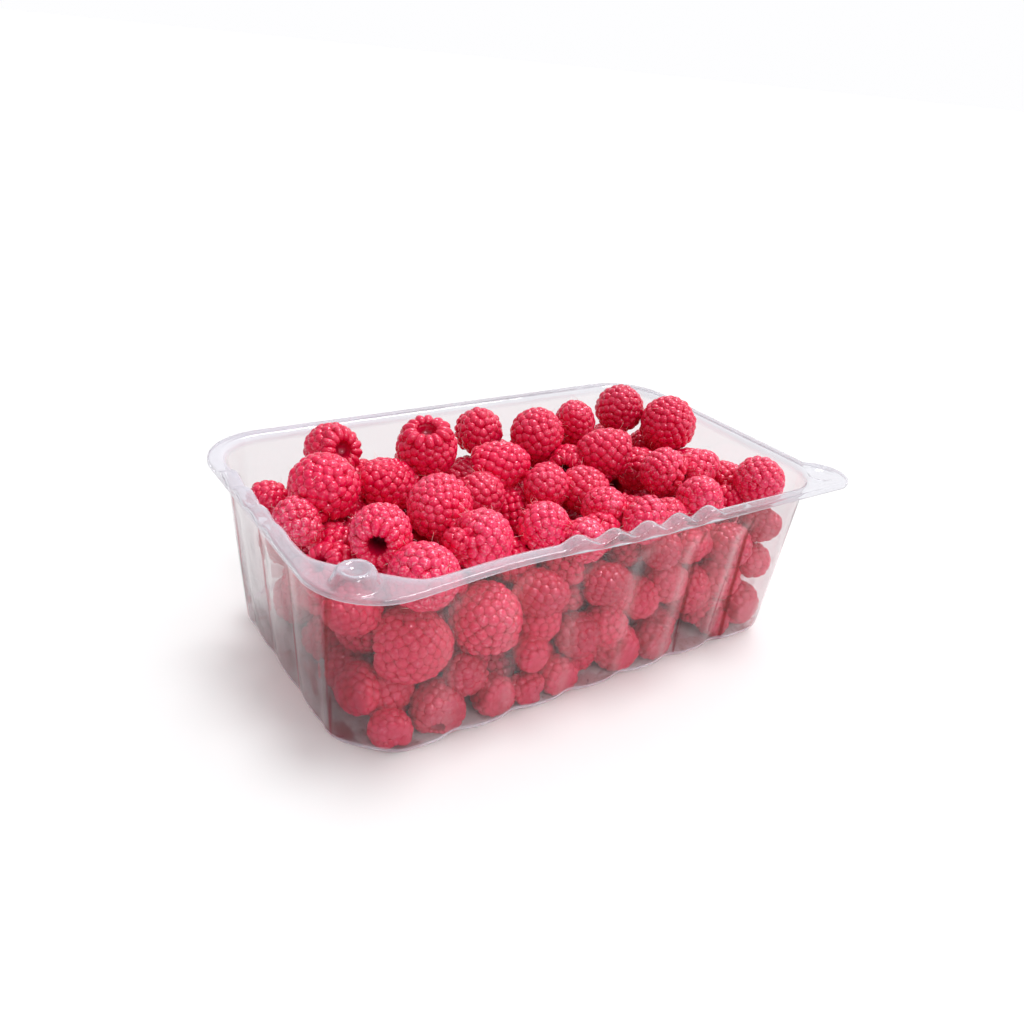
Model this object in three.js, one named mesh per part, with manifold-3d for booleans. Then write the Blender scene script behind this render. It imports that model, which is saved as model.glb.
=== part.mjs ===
// A clear fruit punnet filled with raspberries.
//
// Frame: millimetres, X along the punnet's length, Y across it, Z up. The origin is the middle
// of the underside of the base, which the punnet rests on. The side at -Y is the front, and the
// grip tab is at the front right corner.
//
// The punnet is one thin sheet, drawn down into a tray: a flat base, tapering walls with upright
// pleats, and a flange that is pressed into waves at the front and the left, which vent it under
// a lid.
// The raspberries are one heap: a core with the berries that show fused on.

import * as THREE from 'three';
import { mergeVertices } from 'three/addons/utils/BufferGeometryUtils.js';
import Module from 'manifold-3d';

const wasm = await Module();
wasm.setup();

// Punnet: outline of the rim, of the tray's mouth and of its base.
const RIM = { length: 190, width: 116, radius: 22 };
const MOUTH = { length: 180, width: 106, radius: 17 };
const BASE = { length: 172, width: 100, radius: 18 };
const RIM_HEIGHT = 60;
const LIP_DROP = 1.6;
const SHEET = 0.5;
const BASE_BEND = 2.5;

// Upright pleats in the walls. They fade out in slanted pockets below the rim.
const PLEAT_DEPTH = 1.6;
const PLEAT_PITCH = 22.5;
const FRONT_PLEAT_AT = -11;
const SIDE_PLEAT_AT = 11.5;
const POCKET_TOP = 52;
const POCKET_BOTTOM = 44;

// Waves pressed into the flange at the front and at the left.
const WAVE_STEPS = 4;
const FRONT_WAVES = { start: -25, pitch: 12.3, count: 5, height: 3 };
const LEFT_WAVES = { start: -19, pitch: 12.5, count: 4, height: 1.5 };

// Grip tab at the front right corner, and the round button at the front left one, where the
// tray's mouth is cut across. CORNER_CUT is the lowest x + y of the mouth there, and the base's
// is lower by CORNER_TAPER.
const TAB = { x: 91.6, y: -48.2, radius: 9.8 };
const BUTTON = { x: -83.9, y: -46, radius: 6.6, height: 4.2, dish: 3.8, dishDepth: 1.2 };
const CORNER_CUT = -120;
const CORNER_TAPER = 3;

// The front rim is pressed in a little along its left half.
const PRESSED_IN = { depth: 2.8, at: -38, reach: 45 };

const PLEAT_STEPS = 4;
const CORNER_STEPS = 6;
const TAB_CORNER_STEPS = 11;
const BUTTON_SIDES = 14;
const PUNNET_COLOUR = 0xd8d4dc;

// Raspberries that lie on top: x, y, z of the middle, size across, how far the tip leans from
// straight up and the way it leans, both in degrees, and how deep its hollow is where that shows.
const TOP_BERRIES = [
  [-53, 40, 56, 20, 115, 100, 0.4],
  [-67, 14, 56.5, 23, 20, 100, 0],
  [-44, 17, 52, 21, 60, 200, 0],
  [-26, 23, 59.5, 22, 165, 54, 0.4],
  [4, 37, 56, 18, 75, 300, 0],
  [-4, 11, 54, 20.5, 75, 330, 0],
  [-40, -11, 55.5, 21.5, 100, 225, 0],
  [-17, 1, 50, 16.5, 80, 300, 0],
  [-64, -20, 56, 19, 92, 54, 1],
  [-37, -32, 54, 19, 100, 335, 1],
  [-60, -39, 51.5, 20.4, 50, 234, 0],
  [-81, 5, 51, 16, 105, 290, 0],
  [-80, 27, 49, 13, 85, 20, 0],
  [-69, 3, 42, 15, 60, 200, 0],
  [-50, 3, 43, 14, 70, 250, 0],
  [-42, 42, 43, 14, 95, 200, 0],
  [20, 23, 58, 20.5, 50, 234, 0],
  [41, 28, 58, 18.4, 40, 220, 0],
  [65, 30, 60, 19.5, 30, 240, 0],
  [75, 12, 58.5, 22.5, 45, 260, 0],
  [36, 2, 57, 19.5, 85, 150, 0],
  [54, 2, 47, 17, 90, 340, 0],
  [47, -17, 55, 18, 80, 130, 1],
  [64, -17, 54, 16, 80, 350, 0],
  [77, -35, 54, 18.5, 60, 250, 0],
  [79, -18, 46, 16.5, 90, 120, 0],
  [47, -36, 53, 18, 45, 240, 0],
  [5, -5, 52, 16.5, 60, 215, 0],
  [26, 10, 50, 15, 90, 40, 0],
  [15, -25, 51, 17, 60, 250, 0],
  [19, -9, 50, 17, 80, 300, 0],
  [-14, -31, 53, 16.5, 95, 280, 0],
  [20, -39, 52, 17, 100, 200, 0],
  [32, -37, 50, 14, 95, 20, 0],
  [-5, -40, 51, 14, 80, 310, 0],
];

// Raspberries that press against the front wall, with the same values.
const FRONT_BERRIES = [
  [-79, -28, 39.5, 17.5, 70, 200, 0],
  [-61.5, -35, 27.5, 24, 85, 330, 0],
  [-37.5, -36, 30.5, 23, 20, 90, 0],
  [-19.5, -39, 36, 17.5, 75, 300, 0],
  [-55, -39.5, 9.5, 17.5, 60, 60, 0],
  [-71.5, -40.5, 8, 13.5, 40, 90, 0],
  [-79.5, -30.5, 14, 17, 80, 250, 0],
  [-36, -41, 8.2, 14, 20, 270, 0],
  [-46, -40, 16, 13.5, 70, 180, 0],
  [-23, -41.5, 17, 13, 100, 240, 0],
  [-4.5, -40.5, 17, 15.5, 100, 200, 0],
  [-12, -41, 7.8, 13.5, 60, 300, 0],
  [-24.5, -41.5, 7.2, 12.5, 80, 150, 0],
  [12.5, -39, 10.5, 17.5, 30, 200, 0],
  [28.5, -40, 8.5, 14.5, 90, 260, 0],
  [5.5, -40, 33.5, 16.5, 70, 320, 0],
  [21.5, -40, 23.5, 15, 100, 230, 0],
  [26, -41.5, 42, 14, 80, 200, 0],
  [38.5, -41.5, 40.5, 14.5, 60, 250, 0],
  [45.5, -38, 20.5, 18.5, 35, 240, 0],
  [61.5, -39.5, 34, 17, 90, 210, 0],
  [78, -40, 39, 15.5, 70, 270, 0],
  [76, -40, 25, 13.5, 60, 200, 0],
  [71, -39.5, 11, 17, 90, 300, 0],
  [58, -41, 8, 13.5, 60, 240, 0],
];

// Raspberries that are seen down in the gaps between the top ones, with the same values, and a
// broken-off bit of one.
const GAP_BERRIES = [
  [-3, 2, 41, 17, 50, 130, 0],
  [-30, 10, 42, 17, 70, 200, 0],
  [14, 2, 41, 17, 80, 250, 0],
  [-49, -28, 41, 17, 60, 100, 0],
  [-55, 20, 41, 17, 40, 260, 0],
  [15, 44, 42, 17, 40, 260, 0],
  [-35, 28, 42, 17, 40, 110, 0],
  [-47.5, -34, 57.5, 8, 80, 250, 0],
];

// The other berries lie in rows along the other walls and across the middle, and settle there.
// The heap is lower in the back left corner, where the upper row is left out.
const ROW_HEIGHTS = [11, 27, 42];
const ROW_PITCH = 20.5;
const MIDDLE_PITCH = 17.5;
const LOW_CORNER = { x: -28, y: 24 };
const BERRY_SIZE = 19;
const BERRY_SIZE_SPREAD = 3;
const LEAN = { least: 40, spread: 100 };
const SETTLE_STEPS = 80;
const SINK_PER_STEP = 0.1;
const SQUASH = 0.95;
const GAP = 0.4;
const TOP_BERRY_SIDES = 8;
const BERRY_SIDES = 6;
const BERRY_COLOUR = 0xb0122b;

// Outlines of half a berry, as radius and height in half sizes, from its base up to its tip: one
// that lies on top, one below it, and the base where it is shut or shows its hollow.
const TOP_OUTLINE = [[0.7, -0.74], [0.96, -0.14], [0.82, 0.45], [0.45, 0.88], [0, 1]];
const LOWER_OUTLINE = [[0.74, -0.68], [0.96, 0.02], [0.64, 0.74], [0, 1]];
const SHUT_BASE = -0.8;
const HOLLOW_BASE = [[0, 0.1], [0.26, -0.1]];
const HOLLOW_LIP = [0.36, -0.84];

// The core inside the berries stays CORE_INSET in from the walls and CORE_BELOW_TOPS below the
// middles of the top berries. Berries within about CORE_BLEND of a place set its height there.
const CORE_INSET = 11.4;
const CORE_BELOW_TOPS = 17;
const CORE_BLEND = 2;
const CORE_STEPS = { x: 7, y: 4 };
const POST_RADIUS = 4.5;
const POST_SIDES = 3;

// Even numbers between 0 and 1, the same on every run.
const DRAW_FACTOR = 16807;
const DRAW_LIMIT = 2147483647;
let drawState = 4711;
function draw() {
  drawState = (drawState * DRAW_FACTOR) % DRAW_LIMIT;
  return drawState / DRAW_LIMIT;
}

function mix(from, to, share) {
  return from + (to - from) * share;
}

// A share that rises from 0 to 1 between two values.
function ramp(value, start, end) {
  return Math.min(1, Math.max(0, (value - start) / (end - start)));
}

// Half the straight length of an outline's sides, and the radius of its corners.
function halves(outline) {
  return {
    x: outline.length / 2 - outline.radius,
    y: outline.width / 2 - outline.radius,
    radius: outline.radius,
  };
}

const rim = halves(RIM);
const mouth = halves(MOUTH);
const base = halves(BASE);

function wavesEnd(waves) {
  return waves.start + waves.pitch * waves.count;
}

// Places along one side, from end to end: fine steps over its waves, if it has any, and beside
// them the tops, flanks and bottoms of its pleats.
function sidePlaces(half, pleatAt, waves) {
  const step = PLEAT_PITCH / PLEAT_STEPS;
  const places = [-half, half];
  const waveSteps = waves ? waves.count * WAVE_STEPS : -1;
  for (let i = 0; i <= waveSteps; i += 1) {
    places.push(mix(waves.start, wavesEnd(waves), i / waveSteps));
  }
  for (let i = Math.ceil((-half - pleatAt) / step); pleatAt + i * step < half; i += 1) {
    const place = pleatAt + i * step;
    const inWaves = waves && place > waves.start - step / 3 && place < wavesEnd(waves) + step / 3;
    if (!inWaves && Math.abs(place) < half - step / 3) {
      places.push(place);
    }
  }
  return places.sort((a, b) => a - b);
}

// How far the flange is lifted in its waves.
function waveLift(along, waves) {
  if (!waves || along <= waves.start || along >= wavesEnd(waves)) {
    return 0;
  }
  const turn = (along - waves.start) / waves.pitch;
  return waves.height * (0.5 - 0.5 * Math.cos(2 * Math.PI * turn));
}

// Stations round the punnet, counter-clockwise from the front left. Each has the share of the
// half sides that it stands at, the way it faces, and its lift in the waves.
function stationsRound() {
  const stations = [];
  const addSide = (places, waves, place) => {
    for (const along of places) {
      stations.push({ ...place(along), lift: waveLift(along, waves) });
    }
  };
  const addCorner = (signX, signY, startAngle, steps) => {
    for (let step = 1; step < steps; step += 1) {
      const angle = startAngle + (Math.PI / 2) * (step / steps);
      const out = { x: Math.cos(angle), y: Math.sin(angle) };
      stations.push({ shareX: signX, shareY: signY, out, lift: 0 });
    }
  };
  const front = sidePlaces(rim.x, FRONT_PLEAT_AT, FRONT_WAVES);
  const right = sidePlaces(rim.y, SIDE_PLEAT_AT);
  const back = sidePlaces(rim.x, FRONT_PLEAT_AT).reverse();
  const left = sidePlaces(rim.y, SIDE_PLEAT_AT, LEFT_WAVES).reverse();
  addSide(front, FRONT_WAVES, (x) => ({ shareX: x / rim.x, shareY: -1, out: { x: 0, y: -1 } }));
  addCorner(1, -1, -Math.PI / 2, TAB_CORNER_STEPS);
  addSide(right, null, (y) => ({ shareX: 1, shareY: y / rim.y, out: { x: 1, y: 0 } }));
  addCorner(1, 1, 0, CORNER_STEPS);
  addSide(back, null, (x) => ({ shareX: x / rim.x, shareY: 1, out: { x: 0, y: 1 } }));
  addCorner(-1, 1, Math.PI / 2, CORNER_STEPS);
  addSide(left, LEFT_WAVES, (y) => ({ shareX: -1, shareY: y / rim.y, out: { x: -1, y: 0 } }));
  addCorner(-1, -1, Math.PI, CORNER_STEPS);
  return stations;
}

// How far the front wall is pressed in at a place along it, at its top.
function pressedIn(x) {
  const offset = (x - PRESSED_IN.at) / PRESSED_IN.reach;
  return Math.abs(offset) < 1 ? PRESSED_IN.depth * (0.5 + 0.5 * Math.cos(Math.PI * offset)) : 0;
}

// Depth of the pleats at a place along a side.
function pleat(along, at) {
  const wave = 0.5 + 0.5 * Math.cos((2 * Math.PI * (along - at)) / PLEAT_PITCH);
  return PLEAT_DEPTH * wave * wave;
}

// A station's point on an outline, moved outwards by grow.
function onOutline(station, shape, grow) {
  return {
    x: station.shareX * shape.x + station.out.x * (shape.radius + grow),
    y: station.shareY * shape.y + station.out.y * (shape.radius + grow),
  };
}

// The front wall's press and the cut across the front left corner, faded with height.
function pressAndCut(point, station, height, inset) {
  const share = height / RIM_HEIGHT;
  const front = Math.max(0, -station.out.y) * (station.shareY < 0 ? 1 : 0);
  const y = point.y + front * pressedIn(point.x) * share;
  const limit = CORNER_CUT - CORNER_TAPER * (1 - share) + inset * Math.SQRT2;
  const beyond = Math.max(0, limit - point.x - y) / 2;
  return { x: point.x + beyond, y: y + beyond };
}

// A station's point on the wall at a height, moved inwards by inset.
function onWall(station, height, inset) {
  const share = height / RIM_HEIGHT;
  const shape = {
    x: mix(base.x, mouth.x, share),
    y: mix(base.y, mouth.y, share),
    radius: mix(base.radius, mouth.radius, share),
  };
  const onLongSide = station.out.x === 0;
  const along = onLongSide ? station.shareX * rim.x : station.shareY * rim.y;
  const straight = onLongSide || station.out.y === 0;
  const fade = 1 - ramp(height, POCKET_BOTTOM, POCKET_TOP);
  const depth = straight ? pleat(along, onLongSide ? FRONT_PLEAT_AT : SIDE_PLEAT_AT) * fade : 0;
  const point = onOutline(station, shape, -inset - depth);
  return pressAndCut(point, station, height, inset);
}

// How far the rim stands from the corner's centre along a direction, out to the grip tab: a
// straight run on from the front edge, and then the tab's round end.
function tabReach(out) {
  const centre = { x: TAB.x - rim.x, y: TAB.y + rim.y };
  const alongRay = centre.x * out.x + centre.y * out.y;
  const aside = centre.x * out.y - centre.y * out.x;
  const roundEnd = alongRay + Math.sqrt(Math.max(0, TAB.radius ** 2 - aside ** 2));
  const straightRun = out.y < 0 ? rim.radius / -out.y : Infinity;
  const hitsEnd = Math.abs(aside) < TAB.radius;
  const beforeEnd = Math.atan2(out.y, out.x) < Math.atan2(-rim.radius, centre.x);
  if (beforeEnd) {
    return straightRun;
  }
  return hitsEnd ? Math.max(rim.radius, Math.min(roundEnd, straightRun)) : rim.radius;
}

// A station's point on the rim's outer edge, moved inwards by inset.
function onRim(station, inset) {
  const atTab = station.shareX === 1 && station.shareY === -1 && station.out.x > 0;
  const grow = atTab && station.out.y < 0 ? tabReach(station.out) - rim.radius : 0;
  const point = onOutline(station, rim, grow - inset);
  const front = Math.max(0, -station.out.y);
  return { x: point.x, y: point.y + front * pressedIn(point.x) };
}

// A closed body from rings of points between two poles. Rings run counter-clockwise seen from
// above, up the outside and down the inside.
function bodyFromRings(startPole, rings, endPole) {
  const count = rings[0].length;
  const positions = [...startPole, ...rings.flat(2), ...endPole];
  const last = 1 + rings.length * count;
  const index = [];
  for (let j = 0; j < count; j += 1) {
    const next = (j + 1) % count;
    index.push(0, 1 + next, 1 + j);
    for (let ring = 0; ring + 1 < rings.length; ring += 1) {
      const low = 1 + ring * count;
      const high = low + count;
      index.push(low + j, low + next, high + next);
      index.push(low + j, high + next, high + j);
    }
    const top = last - count;
    index.push(top + j, top + next, last);
  }
  const geometry = new THREE.BufferGeometry();
  geometry.setAttribute('position', new THREE.Float32BufferAttribute(positions, 3));
  geometry.setIndex(index);
  return geometry;
}

// A closed geometry as a solid that can be joined and cut.
const MERGE_WITHIN = 1e-4;
function toSolid(geometry) {
  const bare = geometry.clone();
  bare.deleteAttribute('normal');
  bare.deleteAttribute('uv');
  const merged = mergeVertices(bare, MERGE_WITHIN);
  const corners = merged.index.array;
  const triVerts = [];
  for (let i = 0; i < corners.length; i += 3) {
    const [a, b, c] = [corners[i], corners[i + 1], corners[i + 2]];
    if (a !== b && b !== c && c !== a) {
      triVerts.push(a, b, c);
    }
  }
  const vertProperties = new Float32Array(merged.getAttribute('position').array);
  const mesh = new wasm.Mesh({ numProp: 3, vertProperties, triVerts: new Uint32Array(triVerts) });
  return new wasm.Manifold(mesh);
}

function toGeometry(solid) {
  const { vertProperties, triVerts } = solid.getMesh();
  const geometry = new THREE.BufferGeometry();
  geometry.setAttribute('position', new THREE.Float32BufferAttribute(vertProperties, 3));
  geometry.setIndex([...triVerts]);
  return geometry;
}

function ring(stations, pointAt, heightAt) {
  return stations.map((station) => {
    const { x, y } = pointAt(station);
    return [x, y, heightAt(station)];
  });
}

// The tray with its flange and lip, as one sheet.
function traySheet() {
  const stations = stationsRound();
  const wallRing = (height, inset, rise) =>
    ring(stations, (s) => onWall(s, height, inset), () => height + rise);
  const mouthRing = (inset, drop) =>
    ring(stations, (s) => onWall(s, RIM_HEIGHT, inset), (s) => RIM_HEIGHT - drop + s.lift);
  const rimRing = (inset, drop) =>
    ring(stations, (s) => onRim(s, inset), (s) => RIM_HEIGHT - drop + s.lift);
  const lipRing = (inset) =>
    ring(stations, (s) => onRim(s, inset), () => RIM_HEIGHT - LIP_DROP);
  const bendSag = BASE_BEND * (1 - Math.SQRT1_2);
  const rings = [
    wallRing(0, BASE_BEND, 0),
    wallRing(bendSag, bendSag, 0),
    wallRing(BASE_BEND, 0, 0),
    wallRing(POCKET_BOTTOM, 0, 0),
    wallRing(POCKET_TOP, 0, 0),
    mouthRing(0, SHEET),
    rimRing(SHEET, SHEET),
    lipRing(SHEET),
    lipRing(0),
    rimRing(0, 0),
    mouthRing(SHEET, 0),
    wallRing(POCKET_TOP, SHEET, 0),
    wallRing(POCKET_BOTTOM, SHEET, 0),
    wallRing(BASE_BEND, SHEET, 0),
    wallRing(0, BASE_BEND, SHEET),
  ];
  return bodyFromRings([0, 0, 0], rings, [0, 0, SHEET]);
}

// A body turned about the upright axis from its outline, placed at x, y.
function turned(profile, sides, x, y) {
  const points = profile.map(([radius, height]) => new THREE.Vector2(radius, height));
  const geometry = new THREE.LatheGeometry(points, sides);
  geometry.rotateX(Math.PI / 2);
  geometry.translate(x, y, 0);
  return geometry;
}

// The button's sheet: a low dome with a dished top, open below.
function buttonSheet() {
  const top = RIM_HEIGHT + BUTTON.height;
  const outside = [
    [BUTTON.radius, RIM_HEIGHT - SHEET],
    [BUTTON.radius, RIM_HEIGHT + 0.6],
    [BUTTON.radius - 0.9, top - 0.5],
    [BUTTON.radius - 1.7, top],
    [BUTTON.dish, top],
    [BUTTON.dish - 1, top - BUTTON.dishDepth],
    [0, top - BUTTON.dishDepth],
  ];
  const inside = outside.map(([radius, height]) => [Math.max(0, radius - SHEET), height - SHEET]);
  inside[0][1] = RIM_HEIGHT - SHEET;
  return turned([...inside.reverse(), ...outside], BUTTON_SIDES, BUTTON.x, BUTTON.y);
}

// The round of the flange that the button's sheet takes the place of.
function buttonHole() {
  const radius = BUTTON.radius - SHEET / 2;
  const low = RIM_HEIGHT - BUTTON.height;
  const high = RIM_HEIGHT + BUTTON.height;
  return turned([[0, low], [radius, low], [radius, high], [0, high]], BUTTON_SIDES, BUTTON.x, BUTTON.y);
}

function makePunnet() {
  const tray = toSolid(traySheet());
  const cut = tray.subtract(toSolid(buttonHole()));
  const joined = cut.add(toSolid(buttonSheet()));
  const material = new THREE.MeshStandardMaterial({ color: PUNNET_COLOUR, roughness: 0.08 });
  const mesh = new THREE.Mesh(toGeometry(joined), material);
  mesh.name = 'punnet';
  return mesh;
}

// Half sizes of the space in the tray at a height, clear of the pleats.
function roomAt(height) {
  const share = ramp(height, 0, RIM_HEIGHT);
  const clear = SHEET + PLEAT_DEPTH + GAP;
  return {
    x: mix(BASE.length, MOUTH.length, share) / 2 - clear,
    y: mix(BASE.width, MOUTH.width, share) / 2 - clear,
    radius: mix(BASE.radius, MOUTH.radius, share) - clear,
    share,
  };
}

// Moves a berry inside the walls and above the base.
function keepInside(berry) {
  const reach = berry.size / 2;
  const room = roomAt(berry.z);
  const dx = Math.abs(berry.x) - (room.x - room.radius);
  const dy = Math.abs(berry.y) - (room.y - room.radius);
  const outX = Math.max(dx, 0);
  const outY = Math.max(dy, 0);
  const length = Math.hypot(outX, outY);
  const over = length + Math.min(Math.max(dx, dy), 0) - room.radius + reach;
  if (over > 0) {
    const acrossX = length > 0 ? outX / length : Number(dx > dy);
    const acrossY = length > 0 ? outY / length : Number(dx <= dy);
    berry.x -= Math.sign(berry.x) * acrossX * over;
    berry.y -= Math.sign(berry.y) * acrossY * over;
  }
  const front = -room.y + pressedIn(berry.x) * room.share + reach;
  berry.y = Math.max(berry.y, front);
  const inset = SHEET + GAP + reach;
  const limit = CORNER_CUT - CORNER_TAPER * (1 - room.share) + inset * Math.SQRT2;
  const beyond = Math.max(0, limit - berry.x - berry.y) / 2;
  berry.x += beyond;
  berry.y += beyond;
  berry.z = Math.max(berry.z, SHEET + GAP + reach);
}

// Places in one row along the other three walls, counter-clockwise from the front right.
function rowPlaces(height, offset) {
  const room = roomAt(height);
  const halfX = room.x - BERRY_SIZE / 2;
  const halfY = room.y - BERRY_SIZE / 2;
  const total = 2 * halfX + 4 * halfY;
  const count = Math.floor(total / ROW_PITCH);
  const places = [];
  for (let i = 0; i < count; i += 1) {
    const walk = ((i + offset) / count) * total;
    let place;
    if (walk < 2 * halfY) {
      place = { x: halfX, y: walk - halfY };
    } else if (walk < 2 * (halfX + halfY)) {
      place = { x: halfX + 2 * halfY - walk, y: halfY };
    } else {
      place = { x: -halfX, y: 2 * halfX + 3 * halfY - walk };
    }
    places.push({ ...place, z: height });
  }
  return places;
}

// Places in lines across the middle of the heap, every second line moved on by half a step.
function middlePlaces(height) {
  const room = roomAt(height);
  const places = [];
  const columns = Math.floor((2 * room.x - 2 * ROW_PITCH) / MIDDLE_PITCH);
  for (let column = 0; column < columns; column += 1) {
    for (let line = -1; line <= 1; line += 1) {
      const x = (column - (columns - 1) / 2 + (line === 0 ? 0.5 : 0)) * MIDDLE_PITCH;
      places.push({ x, y: line * MIDDLE_PITCH, z: height });
    }
  }
  return places;
}

function distance(a, b) {
  return Math.hypot(a.x - b.x, a.y - b.y, a.z - b.z);
}

// Berries push each other apart, and only the loose ones move.
function settle(berries) {
  for (let step = 0; step < SETTLE_STEPS; step += 1) {
    for (const berry of berries) {
      if (berry.loose) {
        berry.z -= SINK_PER_STEP;
      }
    }
    for (let i = 0; i < berries.length; i += 1) {
      for (let j = i + 1; j < berries.length; j += 1) {
        const a = berries[i];
        const b = berries[j];
        const apart = distance(a, b);
        const wanted = (SQUASH * (a.size + b.size)) / 2;
        if (apart < wanted && (a.loose || b.loose)) {
          const push = (wanted - apart) / apart / (a.loose && b.loose ? 2 : 1);
          const shareA = a.loose ? push : 0;
          const shareB = b.loose ? push : 0;
          const [dx, dy, dz] = [a.x - b.x, a.y - b.y, a.z - b.z];
          a.x += dx * shareA;
          a.y += dy * shareA;
          a.z += dz * shareA;
          b.x -= dx * shareB;
          b.y -= dy * shareB;
          b.z -= dz * shareB;
        }
      }
    }
    for (const berry of berries) {
      if (berry.loose) {
        keepInside(berry);
      }
    }
  }
}

// Every berry of the heap: those placed one by one, and those settled among them.
function layBerries() {
  const placed = (onTop) => ([x, y, z, size, lean, heading, hollow]) => {
    const berry = { x, y, z, size, lean, heading, hollow, onTop, loose: false };
    keepInside(berry);
    return berry;
  };
  const lower = [...FRONT_BERRIES, ...GAP_BERRIES];
  const berries = [...TOP_BERRIES.map(placed(true)), ...lower.map(placed(false))];
  const [low, middle, high] = ROW_HEIGHTS;
  const inLowCorner = (place) => place.x < LOW_CORNER.x && place.y > LOW_CORNER.y;
  const upper = [...rowPlaces(high, 0), ...middlePlaces(high)];
  const places = [
    ...rowPlaces(low, 0),
    ...rowPlaces(middle, 0.5),
    ...middlePlaces(low).map((place) => ({ ...place, inCore: true })),
    ...upper.filter((place) => !inLowCorner(place)),
  ];
  for (const place of places) {
    const size = BERRY_SIZE + BERRY_SIZE_SPREAD * (draw() - 0.5);
    const lean = LEAN.least + LEAN.spread * draw();
    const heading = 360 * draw();
    berries.push({ ...place, size, lean, heading, hollow: 0, onTop: false, loose: true });
  }
  settle(berries);
  return berries;
}

// A berry with few sides, its tip up: a blunt cone with a rounded tip, and the hollow in its
// base where that shows. Those on top have more sides.
function berryBody(berry) {
  const hollow = HOLLOW_BASE.map(([radius, height]) => [radius, mix(SHUT_BASE, height, berry.hollow)]);
  const start = berry.hollow ? [...hollow, HOLLOW_LIP] : [[0, SHUT_BASE]];
  const outside = berry.onTop ? TOP_OUTLINE : LOWER_OUTLINE;
  const points = [...start, ...outside].map(([radius, height]) => {
    return new THREE.Vector2((radius * berry.size) / 2, (height * berry.size) / 2);
  });
  const geometry = new THREE.LatheGeometry(points, berry.onTop ? TOP_BERRY_SIDES : BERRY_SIDES);
  geometry.rotateX(Math.PI / 2);
  const lean = THREE.MathUtils.degToRad(berry.lean);
  const heading = THREE.MathUtils.degToRad(berry.heading);
  geometry.rotateY(lean);
  geometry.rotateZ(heading);
  geometry.translate(berry.x, berry.y, berry.z);
  return geometry;
}

// Height of the core's top at a place: the top berries' middles, the near ones counting most.
function coreTop(x, y, berries) {
  let weights = 0;
  let heights = 0;
  for (const berry of berries.filter((one) => one.onTop)) {
    const weight = 1 / (CORE_BLEND ** 2 + (berry.x - x) ** 2 + (berry.y - y) ** 2) ** 2;
    weights += weight;
    heights += weight * berry.z;
  }
  return heights / weights - CORE_BELOW_TOPS;
}

// The core: a block inside the rows along the walls, its top following the berries on it. It
// takes in the berries of the lowest layer that touch no wall.
function coreBody(berries) {
  const low = roomAt(0);
  const high = roomAt(RIM_HEIGHT);
  const bottom = SHEET + 2 * GAP;
  const geometry = new THREE.BoxGeometry(2, 2, 1, CORE_STEPS.x, CORE_STEPS.y, 1);
  const position = geometry.getAttribute('position');
  for (let i = 0; i < position.count; i += 1) {
    const above = position.getZ(i) > 0;
    const room = above ? high : low;
    const x = position.getX(i) * (room.x - CORE_INSET);
    const y = position.getY(i) * (room.y - CORE_INSET);
    position.setXYZ(i, x, y, above ? coreTop(x, y, berries) : bottom);
  }
  return geometry;
}

// The part of the core that stands up under a top berry and holds it.
function corePost(berry) {
  const foot = ROW_HEIGHTS[1];
  const geometry = new THREE.CylinderGeometry(POST_RADIUS, POST_RADIUS, berry.z - foot, POST_SIDES);
  geometry.rotateX(Math.PI / 2);
  geometry.translate(berry.x, berry.y, (berry.z + foot) / 2);
  return geometry;
}

function makeRaspberries() {
  const berries = layBerries();
  let heap = toSolid(coreBody(berries));
  for (const berry of berries.filter((one) => !one.inCore)) {
    if (berry.onTop) {
      heap = heap.add(toSolid(corePost(berry)));
    }
    heap = heap.add(toSolid(berryBody(berry)));
  }
  const pieces = heap.decompose();
  pieces.sort((a, b) => b.volume() - a.volume());
  const material = new THREE.MeshStandardMaterial({ color: BERRY_COLOUR, roughness: 0.45 });
  const mesh = new THREE.Mesh(toGeometry(pieces[0]), material);
  mesh.name = 'raspberries';
  return mesh;
}

const punnetOfRaspberries = new THREE.Group();
punnetOfRaspberries.add(makePunnet());
punnetOfRaspberries.add(makeRaspberries());

export default punnetOfRaspberries;
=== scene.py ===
import math

import bmesh
import bpy
import numpy as np
from mathutils import Matrix, Vector


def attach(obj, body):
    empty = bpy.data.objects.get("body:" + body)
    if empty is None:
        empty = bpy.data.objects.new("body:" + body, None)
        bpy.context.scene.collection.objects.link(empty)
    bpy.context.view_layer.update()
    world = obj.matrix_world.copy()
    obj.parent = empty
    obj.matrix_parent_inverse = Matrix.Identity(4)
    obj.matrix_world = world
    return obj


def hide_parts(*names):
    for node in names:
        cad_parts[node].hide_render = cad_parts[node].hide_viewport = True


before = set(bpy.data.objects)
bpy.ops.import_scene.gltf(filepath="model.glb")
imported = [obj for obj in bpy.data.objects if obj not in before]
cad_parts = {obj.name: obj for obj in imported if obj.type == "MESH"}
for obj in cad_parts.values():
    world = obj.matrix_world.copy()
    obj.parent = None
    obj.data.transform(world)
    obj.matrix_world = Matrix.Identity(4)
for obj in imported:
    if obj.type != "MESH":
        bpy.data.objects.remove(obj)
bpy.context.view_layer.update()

scene = bpy.context.scene


# ------------------------------------------------------------------------------------------------
# The tray. One thin sheet of clear plastic, drawn down hot over a mould: a flat base, tapering
# walls with upright pleats, and a flange pressed into waves at the front and the left, which vent
# it under a lid. A grip tab stands out at one front corner and a round button at the other.

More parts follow.
